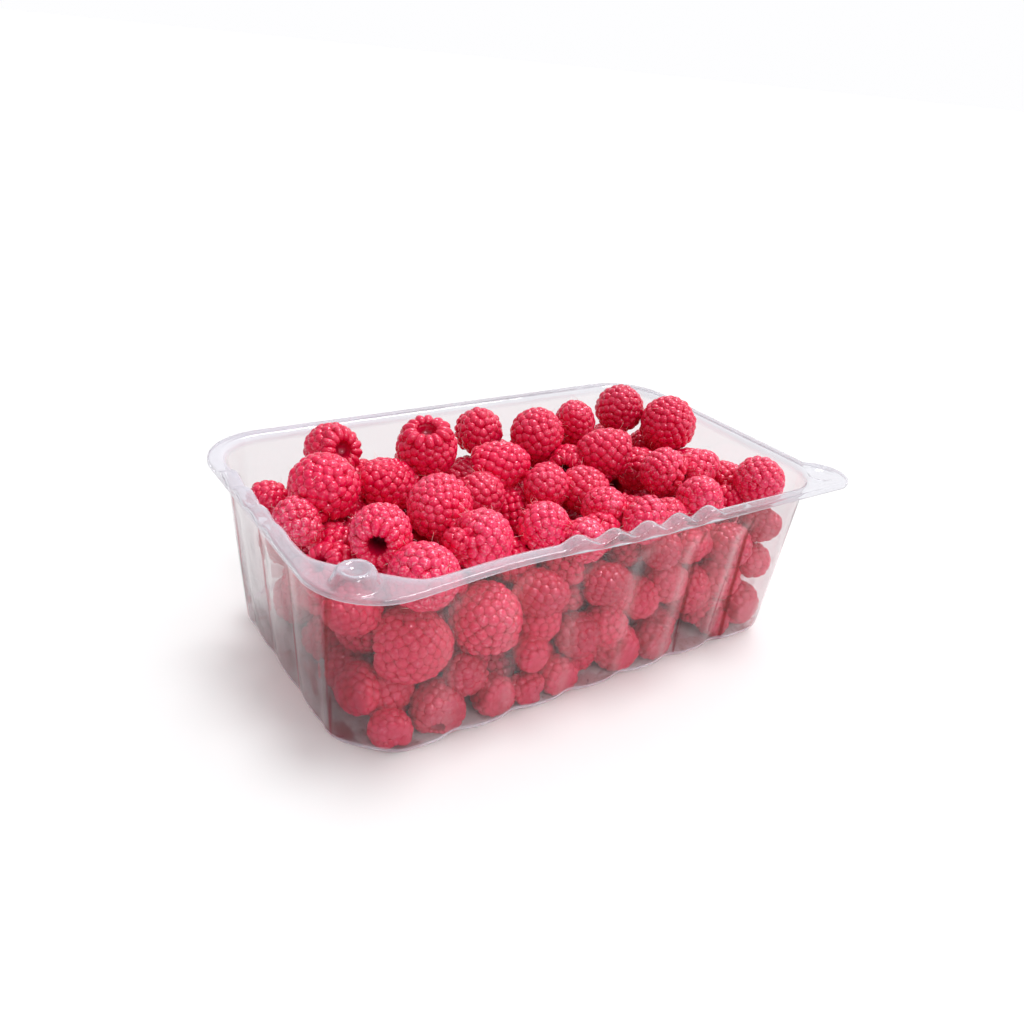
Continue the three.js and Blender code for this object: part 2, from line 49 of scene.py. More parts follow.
# Sizes and places are in millimetres, and those in materials, as x, y and z, are in metres.
MM = 0.001
RIM = {"length": 190.0, "width": 116.0, "radius": 22.0}
MOUTH = {"length": 180.0, "width": 106.0, "radius": 17.0}
BASE = {"length": 172.0, "width": 100.0, "radius": 18.0}
RIM_HEIGHT = 60.0
LIP_DROP = 1.6
SHEET = 0.4
BASE_BEND = 2.5
PLEAT = {"depth": 1.6, "pitch": 22.5}
FRONT_PLEAT_AT = -11.0
SIDE_PLEAT_AT = 11.5
POCKET_TOP = 52.0
POCKET_BOTTOM = 44.0
FRONT_WAVES = {"start": -25.0, "pitch": 12.3, "count": 5, "first": 2.3, "last": 2.7}
LEFT_WAVES = {"start": -19.0, "pitch": 12.5, "count": 4, "first": 0.6, "last": 1.9}
TAB = {"x": 91.6, "y": -48.2, "radius": 9.8}
TAB_DISH = {"radii": (3.5, 5.5), "depth": 0.7}
BUTTON = {"x": -83.9, "y": -46.0, "radius": 6.6, "edge": 2.2, "height": 4.2}
BUTTON_DISH = {"radii": (1.8, 4.2), "depth": 1.4}
CORNER_CUT = -120.0
CORNER_TAPER = 3.0
CORNER_SOFT = 5.0
LEFT_PLEAT_SHARE = 0.35
CORNER_FADE = 7.0
PRESSED_IN = {"depth": 2.8, "at": -38.0, "reach": 45.0}
STATION_STEP = 1.0
CORNER_STEPS = 40
BEND_STEPS = 5
MOUTH_FILLET = 1.5
LIP_FILLET = 0.5
FLANGE_STEPS = 18
FILLET_STEPS = 4
WALL_RINGS = (12, 20, 28, 36, POCKET_BOTTOM, 45.5, 47, 48.5, 50, 51, POCKET_TOP, 53.5, 55, 56.5)


def mix(start, end, share):
    return start + (end - start) * share


def ramp(value, start, end):
    """A share that rises from 0 to 1 between two values."""
    return np.clip((value - start) / (end - start), 0.0, 1.0)


def smooth_ramp(value, start, end):
    share = ramp(value, start, end)
    return share * share * (3 - 2 * share)


def half_sides(outline):
    """Half the straight length of an outline's sides, along X and along Y."""
    return outline["length"] / 2 - outline["radius"], outline["width"] / 2 - outline["radius"]


rim_x, rim_y = half_sides(RIM)
mouth_x, mouth_y = half_sides(MOUTH)
base_x, base_y = half_sides(BASE)


def pleats(along, at):
    """1 in the middle of each pleat, 0 between them."""
    wave = 0.5 + 0.5 * np.cos(2 * math.pi * (along - at) / PLEAT["pitch"])
    return wave * wave


def wave_lift(along, waves):
    """How far the flange is lifted in its waves."""
    turn = (along - waves["start"]) / waves["pitch"]
    height = mix(waves["first"], waves["last"], ramp(turn, 0, waves["count"]))
    lift = height * (0.5 - 0.5 * np.cos(2 * math.pi * turn))
    return np.where((turn > 0) & (turn < waves["count"]), lift, 0.0)


def stations_round():
    """Stations round the tray, counter-clockwise from the front left. The columns are the share
    of the half sides along X and Y, the way out along X and Y, the lift, and the pleats."""
    rows = []
    sides = (((0, -1), FRONT_WAVES), ((1, 0), None), ((0, 1), None), ((-1, 0), LEFT_WAVES))
    for side, ((out_x, out_y), waves) in enumerate(sides):
        lengthwise = out_x == 0
        half, pleat_at = (rim_x, FRONT_PLEAT_AT) if lengthwise else (rim_y, SIDE_PLEAT_AT)
        direction = 1 if side < 2 else -1
        for along in np.linspace(-half, half, round(2 * half / STATION_STEP) + 1) * direction:
            shares = (along / rim_x, out_y) if lengthwise else (out_x, along / rim_y)
            side_lift = wave_lift(along, waves) if waves else 0.0
            fade = smooth_ramp(half - abs(along), 0, CORNER_FADE)
            depth = pleats(along, pleat_at) * fade * (LEFT_PLEAT_SHARE if out_x < 0 else 1)
            rows.append((*shares, out_x, out_y, side_lift, depth))
        corner = (1 if side < 2 else -1, 1 if side in (1, 2) else -1)
        for step in range(1, CORNER_STEPS):
            angle = math.pi / 2 * (side - 1 + step / CORNER_STEPS)
            rows.append((*corner, math.cos(angle), math.sin(angle), 0.0, 0.0))
    return np.array(rows).T


share_x, share_y, out_x, out_y, lift, pleat_share = stations_round()
station_count = len(share_x)


def pressed_in(x):
    """How far the front wall is pressed in at its top."""
    offset = np.clip((x - PRESSED_IN["at"]) / PRESSED_IN["reach"], -1, 1)
    return PRESSED_IN["depth"] * (0.5 + 0.5 * np.cos(math.pi * offset))


def corner_shift(x, y, share, inset):
    """How far along X and Y the cut-off corner moves a point in, softly at its edges."""
    over = CORNER_CUT - CORNER_TAPER * (1 - share) + inset * math.sqrt(2) - x - y
    return (over + np.hypot(over, CORNER_SOFT)) / 4


def on_wall(height, inset):
    """The wall's outside at a height, moved inwards by inset."""
    share = height / RIM_HEIGHT
    fade = 1 - smooth_ramp(height, POCKET_BOTTOM, POCKET_TOP)
    reach = mix(BASE["radius"], MOUTH["radius"], share) - inset - pleat_share * PLEAT["depth"] * fade
    x = share_x * mix(base_x, mouth_x, share) + out_x * reach
    y = share_y * mix(base_y, mouth_y, share) + out_y * reach
    y = y + np.where(share_y < 0, np.maximum(0, -out_y), 0) * pressed_in(x) * share
    beyond = corner_shift(x, y, share, inset)
    return np.stack([x + beyond, y + beyond], axis=1)


def tab_reach(angle_x, angle_y):
    """How far the rim stands from the corner's centre along a direction, out to the grip tab."""
    centre_x, centre_y = TAB["x"] - rim_x, TAB["y"] + rim_y
    along_ray = centre_x * angle_x + centre_y * angle_y
    aside = centre_x * angle_y - centre_y * angle_x
    round_end = along_ray + math.sqrt(max(0, TAB["radius"] ** 2 - aside**2))
    straight_run = RIM["radius"] / -angle_y
    if math.atan2(angle_y, angle_x) < math.atan2(-RIM["radius"], centre_x):
        return straight_run
    if abs(aside) < TAB["radius"]:
        return max(RIM["radius"], min(round_end, straight_run))
    return RIM["radius"]


def on_rim():
    """The rim's outer edge."""
    grow = np.zeros(station_count)
    at_tab = (share_x == 1) & (share_y == -1) & (out_x > 0) & (out_y < 0)
    for i in np.flatnonzero(at_tab):
        grow[i] = tab_reach(out_x[i], out_y[i]) - RIM["radius"]
    x = share_x * rim_x + out_x * (RIM["radius"] + grow)
    y = share_y * rim_y + out_y * (RIM["radius"] + grow)
    y = y + np.maximum(0, -out_y) * pressed_in(x)
    return np.stack([x, y], axis=1)


def pressed_shapes(points):
    """Height of what is pressed out of the flange: the button, and a shallow dish in the tab."""
    away = np.hypot(points[:, 0] - BUTTON["x"], points[:, 1] - BUTTON["y"])
    edge = 1 - smooth_ramp(away, BUTTON["radius"] - BUTTON["edge"], BUTTON["radius"])
    dish = 1 - smooth_ramp(away, *BUTTON_DISH["radii"])
    in_tab = np.hypot(points[:, 0] - TAB["x"], points[:, 1] - TAB["y"])
    tab_dish = 1 - smooth_ramp(in_tab, *TAB_DISH["radii"])
    return BUTTON["height"] * edge - BUTTON_DISH["depth"] * dish - TAB_DISH["depth"] * tab_dish


def tray_rings():
    """Rings of points on the underside of the sheet, from the base out to the foot of the lip."""
    rings = []

    def add(points, height, lift_share):
        rings.append(np.column_stack([points, height + lift * lift_share]))

    for turn in np.linspace(0, math.pi / 2, BEND_STEPS):
        height = BASE_BEND * (1 - math.cos(turn))
        add(on_wall(height, BASE_BEND * (1 - math.sin(turn))), height, 0)
    top = RIM_HEIGHT - SHEET
    for height in WALL_RINGS:
        add(on_wall(height, 0), height, ramp(height, POCKET_TOP, top - MOUTH_FILLET))
    mouth = on_wall(RIM_HEIGHT, 0)
    rim = on_rim()
    across = rim - mouth
    width = np.linalg.norm(across, axis=1, keepdims=True)
    across = across / width
    for turn in np.linspace(0, math.pi / 2, FILLET_STEPS)[:-1]:
        out = MOUTH_FILLET * (1 - math.cos(turn))
        add(mouth + across * out, top - MOUTH_FILLET * (1 - math.sin(turn)), 1)
    inner = mouth + across * MOUTH_FILLET
    outer = rim - across * (LIP_FILLET + SHEET)
    for share in np.linspace(0, 1, FLANGE_STEPS):
        points = mix(inner, outer, share)
        add(points, top + pressed_shapes(points), 1)
    for turn in np.linspace(0, math.pi / 2, FILLET_STEPS)[1:]:
        out = LIP_FILLET * math.sin(turn)
        add(outer + across * out, top - LIP_FILLET * (1 - math.cos(turn)), 1)
    foot = rim - across * SHEET
    for share in (0.5, 1.0):
        add(foot, mix(top - LIP_FILLET, RIM_HEIGHT - LIP_DROP, share), 1 - share)
    return rings


def new_object(name, mesh, material):
    piece = bpy.data.objects.new(name, mesh)
    scene.collection.objects.link(piece)
    mesh.materials.append(material)
    return piece


def smooth_in_metres(bm):
    """Scales a shape from millimetres and makes its faces smooth."""
    bmesh.ops.scale(bm, vec=(MM, MM, MM), verts=bm.verts[:])
    for face in bm.faces:
        face.smooth = True


def mesh_of(name, bm):
    mesh = bpy.data.meshes.new(name)
    bm.to_mesh(mesh)
    bm.free()
    return mesh


def tray_mesh():
    """The base's outline is filled, and its edge extruded from ring to ring."""
    rings = tray_rings()
    bm = bmesh.new()
    outline = bmesh.ops.create_circle(bm, cap_ends=True, segments=station_count, radius=1)["verts"]
    outline.sort(key=lambda v: math.atan2(v.co.y, v.co.x))
    place = {v: i for i, v in enumerate(outline)}
    for v, i in place.items():
        v.co = rings[0][i]
    edges = bm.edges[:]
    for ring in rings[1:]:
        made = bmesh.ops.extrude_edge_only(bm, edges=edges)["geom"]
        new_place = {}
        for v in (g for g in made if isinstance(g, bmesh.types.BMVert)):
            below = next(e.other_vert(v) for e in v.link_edges if e.other_vert(v) in place)
            new_place[v] = place[below]
            v.co = ring[place[below]]
        place = new_place
        edges = [e for e in made if isinstance(e, bmesh.types.BMEdge) and e.is_boundary]
    bmesh.ops.recalc_face_normals(bm, faces=bm.faces[:])
    base = max(bm.faces, key=lambda f: len(f.verts))
    if base.normal.z > 0:
        bmesh.ops.reverse_faces(bm, faces=bm.faces[:])
    smooth_in_metres(bm)
    return mesh_of("tray", bm)


def start_material(name):
    """A new material with an output and nothing else."""
    material = bpy.data.materials.new(name)
    material.use_nodes = True
    tree = material.node_tree
    tree.nodes.clear()
    return material, tree, tree.nodes.new("ShaderNodeOutputMaterial")


def put(tree, kind, settings=None, inputs=None):
    """Adds a node. An input given as a socket is linked, and any other value is set on it."""
    node = tree.nodes.new(kind)
    for name, value in (settings or {}).items():
        setattr(node, name, value)
    for name, value in (inputs or {}).items():
        if isinstance(value, bpy.types.NodeSocket):
            tree.links.new(value, node.inputs[name])
        else:
            node.inputs[name].default_value = value
    return node


def calc(tree, operation, *values):
    """Joins values with a Math node's operation, from the left."""
    result = values[0]
    for value in values[1:]:
        result = put(tree, "ShaderNodeMath", {"operation": operation}, {0: result, 1: value}).outputs[0]
    return result


def between(tree, value, start, end, low=0.0, high=1.0):
    """Maps a value between start and end smoothly to low and high."""
    settings = {"interpolation_type": "SMOOTHSTEP"}
    inputs = {"Value": value, "From Min": start, "From Max": end, "To Min": low, "To Max": high}
    return put(tree, "ShaderNodeMapRange", settings, inputs).outputs[0]


def fading(tree, value, start, end):
    """A share that falls smoothly from 1 to 0 between two values."""
    return between(tree, value, start, end, 1.0, 0.0)


def noise(tree, coordinates, scale, detail=2.0):
    inputs = {"Vector": coordinates, "Scale": scale, "Detail": detail}
    return put(tree, "ShaderNodeTexNoise", inputs=inputs).outputs["Fac"]


def blend_shader(tree, share, shader_a, shader_b):
    inputs = {0: share, 1: shader_a.outputs[0], 2: shader_b.outputs[0]}
    return put(tree, "ShaderNodeMixShader", inputs=inputs)


def object_coordinates(tree):
    return put(tree, "ShaderNodeTexCoord").outputs["Object"]


def blend_colour(tree, share, colour_a, colour_b):
    node = put(tree, "ShaderNodeMix", {"data_type": "RGBA"})
    for socket, value in ((node.inputs[0], share), (node.inputs[6], colour_a), (node.inputs[7], colour_b)):
        if isinstance(value, bpy.types.NodeSocket):
            tree.links.new(value, socket)
        else:
            socket.default_value = value
    return node.outputs[2]


CLEAR = (0.84, 0.805, 0.815, 1)
CLEAR_RIM = (0.78, 0.78, 0.81, 1)
JUICE = (0.42, 0.02, 0.05, 1)
# Painted shade for the left wall, strongest near the base.
LEFT_SHADE_GREY = (0.60, 0.59, 0.60, 1)
# Painted shade for the near corner of the wall.
CORNER_SHADE = (0.30, 0.20, 0.21, 1)
SPECKS = (0.20, 0.09, 0.06, 1)
MILKY = (0.92, 0.88, 1.0, 1)
SHADE_THROUGH = (0.98, 0.98, 0.98, 1)
WALL_INDEX = 1.30
RIM_INDEX = 1.5
# The share at the foot paints a highlight line along the bend of the base.
MILKINESS_AND_HIGHLIGHT = {"at_button": 0.16, "elsewhere": 0.06, "foot_line_highlight": 0.22}
JUICE_SHARE = {"smears": 0.55, "pools": 0.45}
PULP_SHARE = 0.06


def juice_mask(tree, place, blotches, coordinates, on_left, on_front):
    """Dried juice: lines down the pleats, smears low on the walls, and pools on the base."""
    x, y, z = place

    def pleat_line(along, at):
        """A thin line down the middle of each pleat."""
        shifted = calc(tree, "SUBTRACT", along, at * MM)
        wrapped = calc(tree, "PINGPONG", shifted, PLEAT["pitch"] * MM / 2)
        return fading(tree, wrapped, 0.0003, 0.0013)

    right_part = between(tree, x, 0.020, 0.035)
    left_lines = calc(tree, "MULTIPLY", pleat_line(y, SIDE_PLEAT_AT), on_left)
    front_lines = calc(tree, "MULTIPLY", pleat_line(x, FRONT_PLEAT_AT), on_front, right_part)
    lines = calc(tree, "MAXIMUM", left_lines, front_lines)
    runs = put(tree, "ShaderNodeMapping", inputs={"Vector": coordinates, "Scale": (400, 400, 30)})
    streaks = between(tree, noise(tree, runs.outputs[0], 1.0), 0.32, 0.50)
    lines = calc(tree, "MULTIPLY", lines, streaks, fading(tree, z, 0.050, 0.053))
    smears = between(tree, blotches, 0.58, 0.66, 0.0, JUICE_SHARE["smears"])
    smears = calc(tree, "MULTIPLY", smears, fading(tree, z, 0.012, 0.034))
    pools = between(tree, blotches, 0.42, 0.60, 0.0, JUICE_SHARE["pools"])
    pools = calc(tree, "MULTIPLY", pools, fading(tree, z, 0.0015, 0.006))
    return calc(tree, "MAXIMUM", lines, smears, pools)


def sheet_tint(tree, place, blotches, coordinates, on_rim, on_left):
    """The sheet's tint, with painted shade that makes the left wall greyer towards the base and
    darkens the near corner, and with specks on the base.
    """
    x, y, z = place
    tint = blend_colour(tree, on_rim, CLEAR, CLEAR_RIM)
    # Painted shade: the wall's near corner is darkened where the berries behind it lie in shade.
    corner_shade = calc(tree, "MULTIPLY", fading(tree, x, -0.084, -0.077), fading(tree, z, 0.020, 0.048))
    corner_shade = calc(tree, "MULTIPLY", corner_shade, fading(tree, y, -0.024, -0.002))
    tint = blend_colour(tree, corner_shade, tint, CORNER_SHADE)
    # Painted shade: the left wall turns greyer towards the base.
    left_shade = calc(tree, "MULTIPLY", between(tree, z, 0.004, 0.056, 0.9, 0.1), on_left)
    tint = blend_colour(tree, left_shade, tint, LEFT_SHADE_GREY)
    specks = between(tree, noise(tree, coordinates, 950.0, 1.0), 0.66, 0.72)
    specks = calc(tree, "MULTIPLY", specks, fading(tree, z, 0.0015, 0.004))
    specks = calc(tree, "MULTIPLY", specks, between(tree, blotches, 0.40, 0.60))
    return blend_colour(tree, specks, tint, SPECKS)


def clear_sheet_material():
    """Clear glossy plastic, a little hazed and milky at its rim, with a painted highlight of milky white
    along the bend of its foot, dried juice on it, wet pulp inside the front wall, and painted shade in
    its tint. Light reaches the berries straight through it."""
    material, tree, output = start_material("clear_sheet")
    coordinates = object_coordinates(tree)
    place = put(tree, "ShaderNodeSeparateXYZ", inputs={0: coordinates}).outputs
    x, y, z = place
    blotches = noise(tree, coordinates, 75.0, 4.0)
    on_left = fading(tree, x, -0.080, -0.078)
    on_front = fading(tree, y, -0.044, -0.042)
    on_rim = between(tree, z, 0.0565, 0.0585)
    wet_part = calc(tree, "MULTIPLY", between(tree, x, -0.036, -0.026), fading(tree, x, 0.038, 0.046))
    wet = calc(tree, "MULTIPLY", between(tree, blotches, 0.50, 0.56), wet_part, on_front)
    wet = calc(tree, "MULTIPLY", wet, fading(tree, z, 0.046, 0.050))
    pulp = calc(tree, "MULTIPLY", noise(tree, coordinates, 420.0, 3.0), wet, PULP_SHARE)
    relief = calc(tree, "ADD", noise(tree, coordinates, 28.0), pulp)
    bump = put(tree, "ShaderNodeBump", inputs={"Strength": 0.25, "Distance": 0.004, "Height": relief})
    scratches = noise(tree, coordinates, 900.0, 3.0)
    juice = juice_mask(tree, place, blotches, coordinates, on_left, on_front)
    tint = sheet_tint(tree, place, blotches, coordinates, on_rim, on_left)
    shader = put(
        tree,
        "ShaderNodeBsdfPrincipled",
        inputs={
            "Base Color": blend_colour(tree, juice, tint, JUICE),
            "Roughness": between(tree, scratches, 0.4, 0.75, 0.0, 0.05),
            "IOR": between(tree, on_rim, 0.0, 1.0, WALL_INDEX, RIM_INDEX),
            "Transmission Weight": 1.0,
            "Sheen Weight": 0.12,
            "Sheen Roughness": 0.6,
            "Sheen Tint": (1.0, 0.90, 0.95, 1),
            "Normal": bump.outputs[0],
        },
    )
    rim_milk = between(tree, x, -0.035, -0.010, MILKINESS_AND_HIGHLIGHT["at_button"], MILKINESS_AND_HIGHLIGHT["elsewhere"])
    rim_milk = calc(tree, "MULTIPLY", on_rim, rim_milk)
    # Painted highlight: a milky white band along the bend of the foot, standing in for the sheet's
    # reflection there.
    foot = calc(tree, "MULTIPLY", between(tree, z, 0.0009, 0.0015), fading(tree, z, 0.0022, 0.0032))
    painted_foot_highlight = calc(tree, "MULTIPLY", foot, MILKINESS_AND_HIGHLIGHT["foot_line_highlight"])
    milky = put(tree, "ShaderNodeBsdfDiffuse", inputs={"Color": MILKY})
    veiled = blend_shader(tree, calc(tree, "MAXIMUM", rim_milk, painted_foot_highlight), shader, milky)
    rays = put(tree, "ShaderNodeLightPath").outputs
    light_only = calc(tree, "MAXIMUM", rays["Is Shadow Ray"], rays["Is Diffuse Ray"])
    let_through = put(tree, "ShaderNodeBsdfTransparent", inputs={"Color": SHADE_THROUGH})
    blend = blend_shader(tree, light_only, veiled, let_through)
    tree.links.new(blend.outputs[0], output.inputs["Surface"])
    return material


tray = new_object("tray", tray_mesh(), clear_sheet_material())
thickness = tray.modifiers.new("thickness", "SOLIDIFY")
thickness.thickness = SHEET * MM
thickness.offset = -1
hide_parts("punnet")
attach(tray, "root")


# ------------------------------------------------------------------------------------------------
# Where the raspberries lie. Those on top, at the front wall and down in the gaps are placed one by
# one. The rest lie in rows along the other walls, behind the front ones and across the middle, and
# settle against each other.

# In millimetres, x, y and z of the middle and the size across. Then how far the tip leans from
# straight up and the way it leans, both in degrees, and how deep the hollow in the base is, as a
# share of its full depth, where it shows.
TOP_BERRIES = [
    (-53, 40, 56, 20, 115, 100, 0.4),
    (-67, 14, 56.5, 23, 20, 100, 0),
    (-44, 17, 52, 21, 60, 200, 0),
    (-26, 23, 59.5, 22, 165, 54, 0.4),
    (4, 37, 56, 18, 75, 300, 0),
    (-4, 11, 54, 20.5, 75, 330, 0),
    (-40, -11, 55.5, 21.5, 100, 225, 0),
    (-17, 1, 50, 16.5, 80, 300, 0),
    (-64, -20, 56, 19, 92, 54, 1),
    (-37, -32, 54, 19, 100, 335, 1),
    (-60, -39, 51.5, 20.4, 50, 234, 0),
    (-81, 5, 51, 16, 105, 290, 0),
    (-80, 27, 49, 13, 85, 20, 0),
    (-69, 3, 42, 15, 60, 200, 0),
    (-50, 3, 43, 14, 70, 250, 0),
    (-42, 42, 43, 14, 95, 200, 0),
    (20, 23, 58, 20.5, 50, 234, 0),
    (41, 28, 58, 18.4, 40, 220, 0),
    (65, 30, 60, 19.5, 30, 240, 0),
    (75, 12, 58.5, 22.5, 45, 260, 0),
    (36, 2, 57, 19.5, 85, 150, 0),
    (54, 2, 47, 17, 90, 340, 0),
    (47, -17, 55, 18, 80, 130, 1),
    (64, -17, 54, 16, 80, 350, 0),
    (77, -35, 54, 18.5, 60, 250, 0),
    (79, -18, 46, 16.5, 90, 120, 0),
    (47, -36, 53, 18, 45, 240, 0),
    (5, -5, 52, 16.5, 60, 215, 0),
    (26, 10, 50, 15, 90, 40, 0),
    (15, -25, 51, 17, 60, 250, 0),
    (19, -9, 50, 17, 80, 300, 0),
    (-14, -31, 53, 16.5, 95, 280, 0),
    (20, -39, 52, 17, 100, 200, 0),
    (32, -37, 50, 14, 95, 20, 0),
    (-5, -40, 51, 14, 80, 310, 0),
]
# Raspberries that press against the front wall, with the same values.
FRONT_BERRIES = [
    (-79, -28, 39.5, 17.5, 70, 200, 0),
    (-61.5, -35, 27.5, 24, 85, 330, 0),
    (-37.5, -36, 30.5, 23, 20, 90, 0),
    (-19.5, -39, 36, 17.5, 75, 300, 0),
    (-55, -39.5, 9.5, 17.5, 60, 60, 0),
    (-71.5, -40.5, 8, 13.5, 40, 90, 0),
    (-79.5, -30.5, 14, 17, 80, 250, 0),
    (-36, -41, 8.2, 14, 20, 270, 0),
    (-46, -40, 16, 13.5, 70, 180, 0),
    (-23, -41.5, 17, 13, 100, 240, 0),
    (-4.5, -40.5, 17, 15.5, 100, 200, 0),
    (-12, -41, 7.8, 13.5, 60, 300, 0),
    (-24.5, -41.5, 7.2, 12.5, 80, 150, 0),
    (12.5, -39, 10.5, 17.5, 30, 200, 0),
    (28.5, -40, 8.5, 14.5, 90, 260, 0),
    (5.5, -40, 33.5, 16.5, 70, 320, 0),
    (21.5, -40, 23.5, 15, 100, 230, 0),
    (26, -41.5, 42, 14, 80, 200, 0),
    (38.5, -41.5, 40.5, 14.5, 60, 250, 0),
    (45.5, -38, 20.5, 18.5, 35, 240, 0),
    (61.5, -39.5, 34, 17, 90, 210, 0),
    (78, -40, 39, 15.5, 70, 270, 0),
    (76, -40, 25, 13.5, 60, 200, 0),
    (71, -39.5, 11, 17, 90, 300, 0),
    (58, -41, 8, 13.5, 60, 240, 0),
]
# Raspberries that are seen down in the gaps between the top ones, with the same values, and a
# broken-off bit of one.
GAP_BERRIES = [
    (-3, 2, 41, 17, 50, 130, 0),
    (-30, 10, 42, 17, 70, 200, 0),
    (14, 2, 41, 17, 80, 250, 0),
    (-49, -28, 41, 17, 60, 100, 0),
    (-55, 20, 41, 17, 40, 260, 0),
    (15, 44, 42, 17, 40, 260, 0),
    (-35, 28, 42, 17, 40, 110, 0),
    (-47.5, -34, 57.5, 8, 80, 250, 0),
]
# The numbers of the downiest ones with how downy they are, how much painted shade deepens the
# colour at the front wall, inside the heap and at the back right, and the part of the top, along Y,
# that is downy.
DOWNIEST = {11: 2.0, 37: 0.7}
FRONT_SHADE = 0.75
INNER_SHADE = 0.4
BACK_RIGHT_SHADE = {"x": (45, 75), "y": (0, 20), "deep": 0.5}
DOWNY_PART = (10, -20)
BERRY_VALUES = ("x", "y", "z", "size", "lean", "heading", "hollow")
ROW_HEIGHTS = (11.0, 27.0, 42.0)
LEFT_ROW = {"x": -66.0, "below": 38.0, "moved": 5.0}
BEHIND_FRONT = {"y": -25.0, "first_x": -72.0, "pitch": 15.5, "count": 10, "size": 16.0}
FILL_TOP = 50.0
ROW_PITCH = 20.5
MIDDLE_PITCH = 17.5
LOW_CORNER = {"x": -28.0, "y": 24.0}
BERRY_SIZE = 19.0
BERRY_SIZE_SPREAD = 3.0
FILLER_SIZE = 17.0
LEAN = {"least": 40.0, "spread": 100.0}
FILLER_TURN = {"x": 40, "y": 25}
SETTLE_STEPS = 80
SINK_PER_STEP = 0.1
SQUASH = 0.95
GAP = 0.4
FRAME_SHEET = 0.5
DRAW_FACTOR = 16807
DRAW_LIMIT = 2147483647


def even_draws(state=4711):
    """Even numbers between 0 and 1, the same on every run."""
    while True:
        state = state * DRAW_FACTOR % DRAW_LIMIT
        yield state / DRAW_LIMIT


def room_at(height):
    """Half sizes and corner radius of the space in the tray at a height, clear of the pleats."""
    share = float(ramp(height, 0, RIM_HEIGHT))
    clear = FRAME_SHEET + PLEAT["depth"] + GAP
    half_x = mix(BASE["length"], MOUTH["length"], share) / 2 - clear
    half_y = mix(BASE["width"], MOUTH["width"], share) / 2 - clear
    return half_x, half_y, mix(BASE["radius"], MOUTH["radius"], share) - clear, share


def sign(value):
    return (value > 0) - (value < 0)


def keep_inside(berry):
    """Moves a berry inside the walls and above the base."""
    reach = berry["size"] / 2
    half_x, half_y, radius, share = room_at(berry["z"])
    dx = abs(berry["x"]) - (half_x - radius)
    dy = abs(berry["y"]) - (half_y - radius)
    out = (max(dx, 0), max(dy, 0))
    length = math.hypot(*out)
    over = length + min(max(dx, dy), 0) - radius + reach
    if over > 0:
        across_x = out[0] / length if length > 0 else float(dx > dy)
        across_y = out[1] / length if length > 0 else float(dx <= dy)
        berry["x"] -= sign(berry["x"]) * across_x * over
        berry["y"] -= sign(berry["y"]) * across_y * over
    front = -half_y + float(pressed_in(berry["x"])) * share + reach
    berry["y"] = max(berry["y"], front)
    limit = CORNER_CUT - CORNER_TAPER * (1 - share) + (FRAME_SHEET + GAP + reach) * math.sqrt(2)
    beyond = max(0, limit - berry["x"] - berry["y"]) / 2
    berry["x"] += beyond
    berry["y"] += beyond
    berry["z"] = max(berry["z"], FRAME_SHEET + GAP + reach)


def row_places(height, offset):
    """Places in one row along the other three walls, counter-clockwise from the front right."""
    half_x, half_y, _, _ = room_at(height)
    half_x -= BERRY_SIZE / 2
    half_y -= BERRY_SIZE / 2
    total = 2 * half_x + 4 * half_y
    count = math.floor(total / ROW_PITCH)
    for i in range(count):
        walk = (i + offset) / count * total
        if walk < 2 * half_y:
            yield half_x, walk - half_y, height
        elif walk < 2 * (half_x + half_y):
            yield half_x + 2 * half_y - walk, half_y, height
        else:
            yield -half_x, 2 * half_x + 3 * half_y - walk, height


def middle_places(height):
    """Places in lines across the middle, every second line moved on by half a step."""
    half_x = room_at(height)[0]
    columns = math.floor((2 * half_x - 2 * ROW_PITCH) / MIDDLE_PITCH)
    for column in range(columns):
        for line in (-1, 0, 1):
            shift = 0.5 if line == 0 else 0
            yield (column - (columns - 1) / 2 + shift) * MIDDLE_PITCH, line * MIDDLE_PITCH, height


def settle(berries):
    """Berries push each other apart, and only the loose ones move."""
    for _ in range(SETTLE_STEPS):
        for berry in berries:
            if berry["loose"]:
                berry["z"] -= SINK_PER_STEP
        for i, a in enumerate(berries):
            for b in berries[i + 1 :]:
                dx, dy, dz = a["x"] - b["x"], a["y"] - b["y"], a["z"] - b["z"]
                wanted = SQUASH * (a["size"] + b["size"]) / 2
                if abs(dx) > wanted or abs(dy) > wanted or not (a["loose"] or b["loose"]):
                    continue
                apart = math.sqrt(dx * dx + dy * dy + dz * dz)
                if apart < wanted:
                    push = (wanted - apart) / apart / (2 if a["loose"] and b["loose"] else 1)
                    for berry, way in ((a, push), (b, -push)):
                        if berry["loose"]:
                            berry["x"] += dx * way
                            berry["y"] += dy * way
                            berry["z"] += dz * way
        for berry in berries:
            if berry["loose"]:
                keep_inside(berry)


def placed_berries():
    """The berries that are placed one by one, with how downy each is and how much painted shade deepens
    its colour.
    """
    berries = []
    for level, rows in (("top", TOP_BERRIES), ("front", FRONT_BERRIES), ("below", GAP_BERRIES)):
        for row in rows:
            berries.append({**dict(zip(BERRY_VALUES, row)), "level": level, "loose": False})
            keep_inside(berries[-1])
    for berry in berries:
        berry["down"] = float(ramp(berry["y"], *DOWNY_PART)) if berry["level"] == "top" else 0.0
        at_back_right = float(ramp(berry["x"], *BACK_RIGHT_SHADE["x"]) * ramp(berry["y"], *BACK_RIGHT_SHADE["y"]))
        berry["deep"] = FRONT_SHADE if berry["level"] == "front" else BACK_RIGHT_SHADE["deep"] * at_back_right
    for number, down in DOWNIEST.items():
        berries[number]["down"] = down
        berries[number]["deep"] = 0.0
    return berries


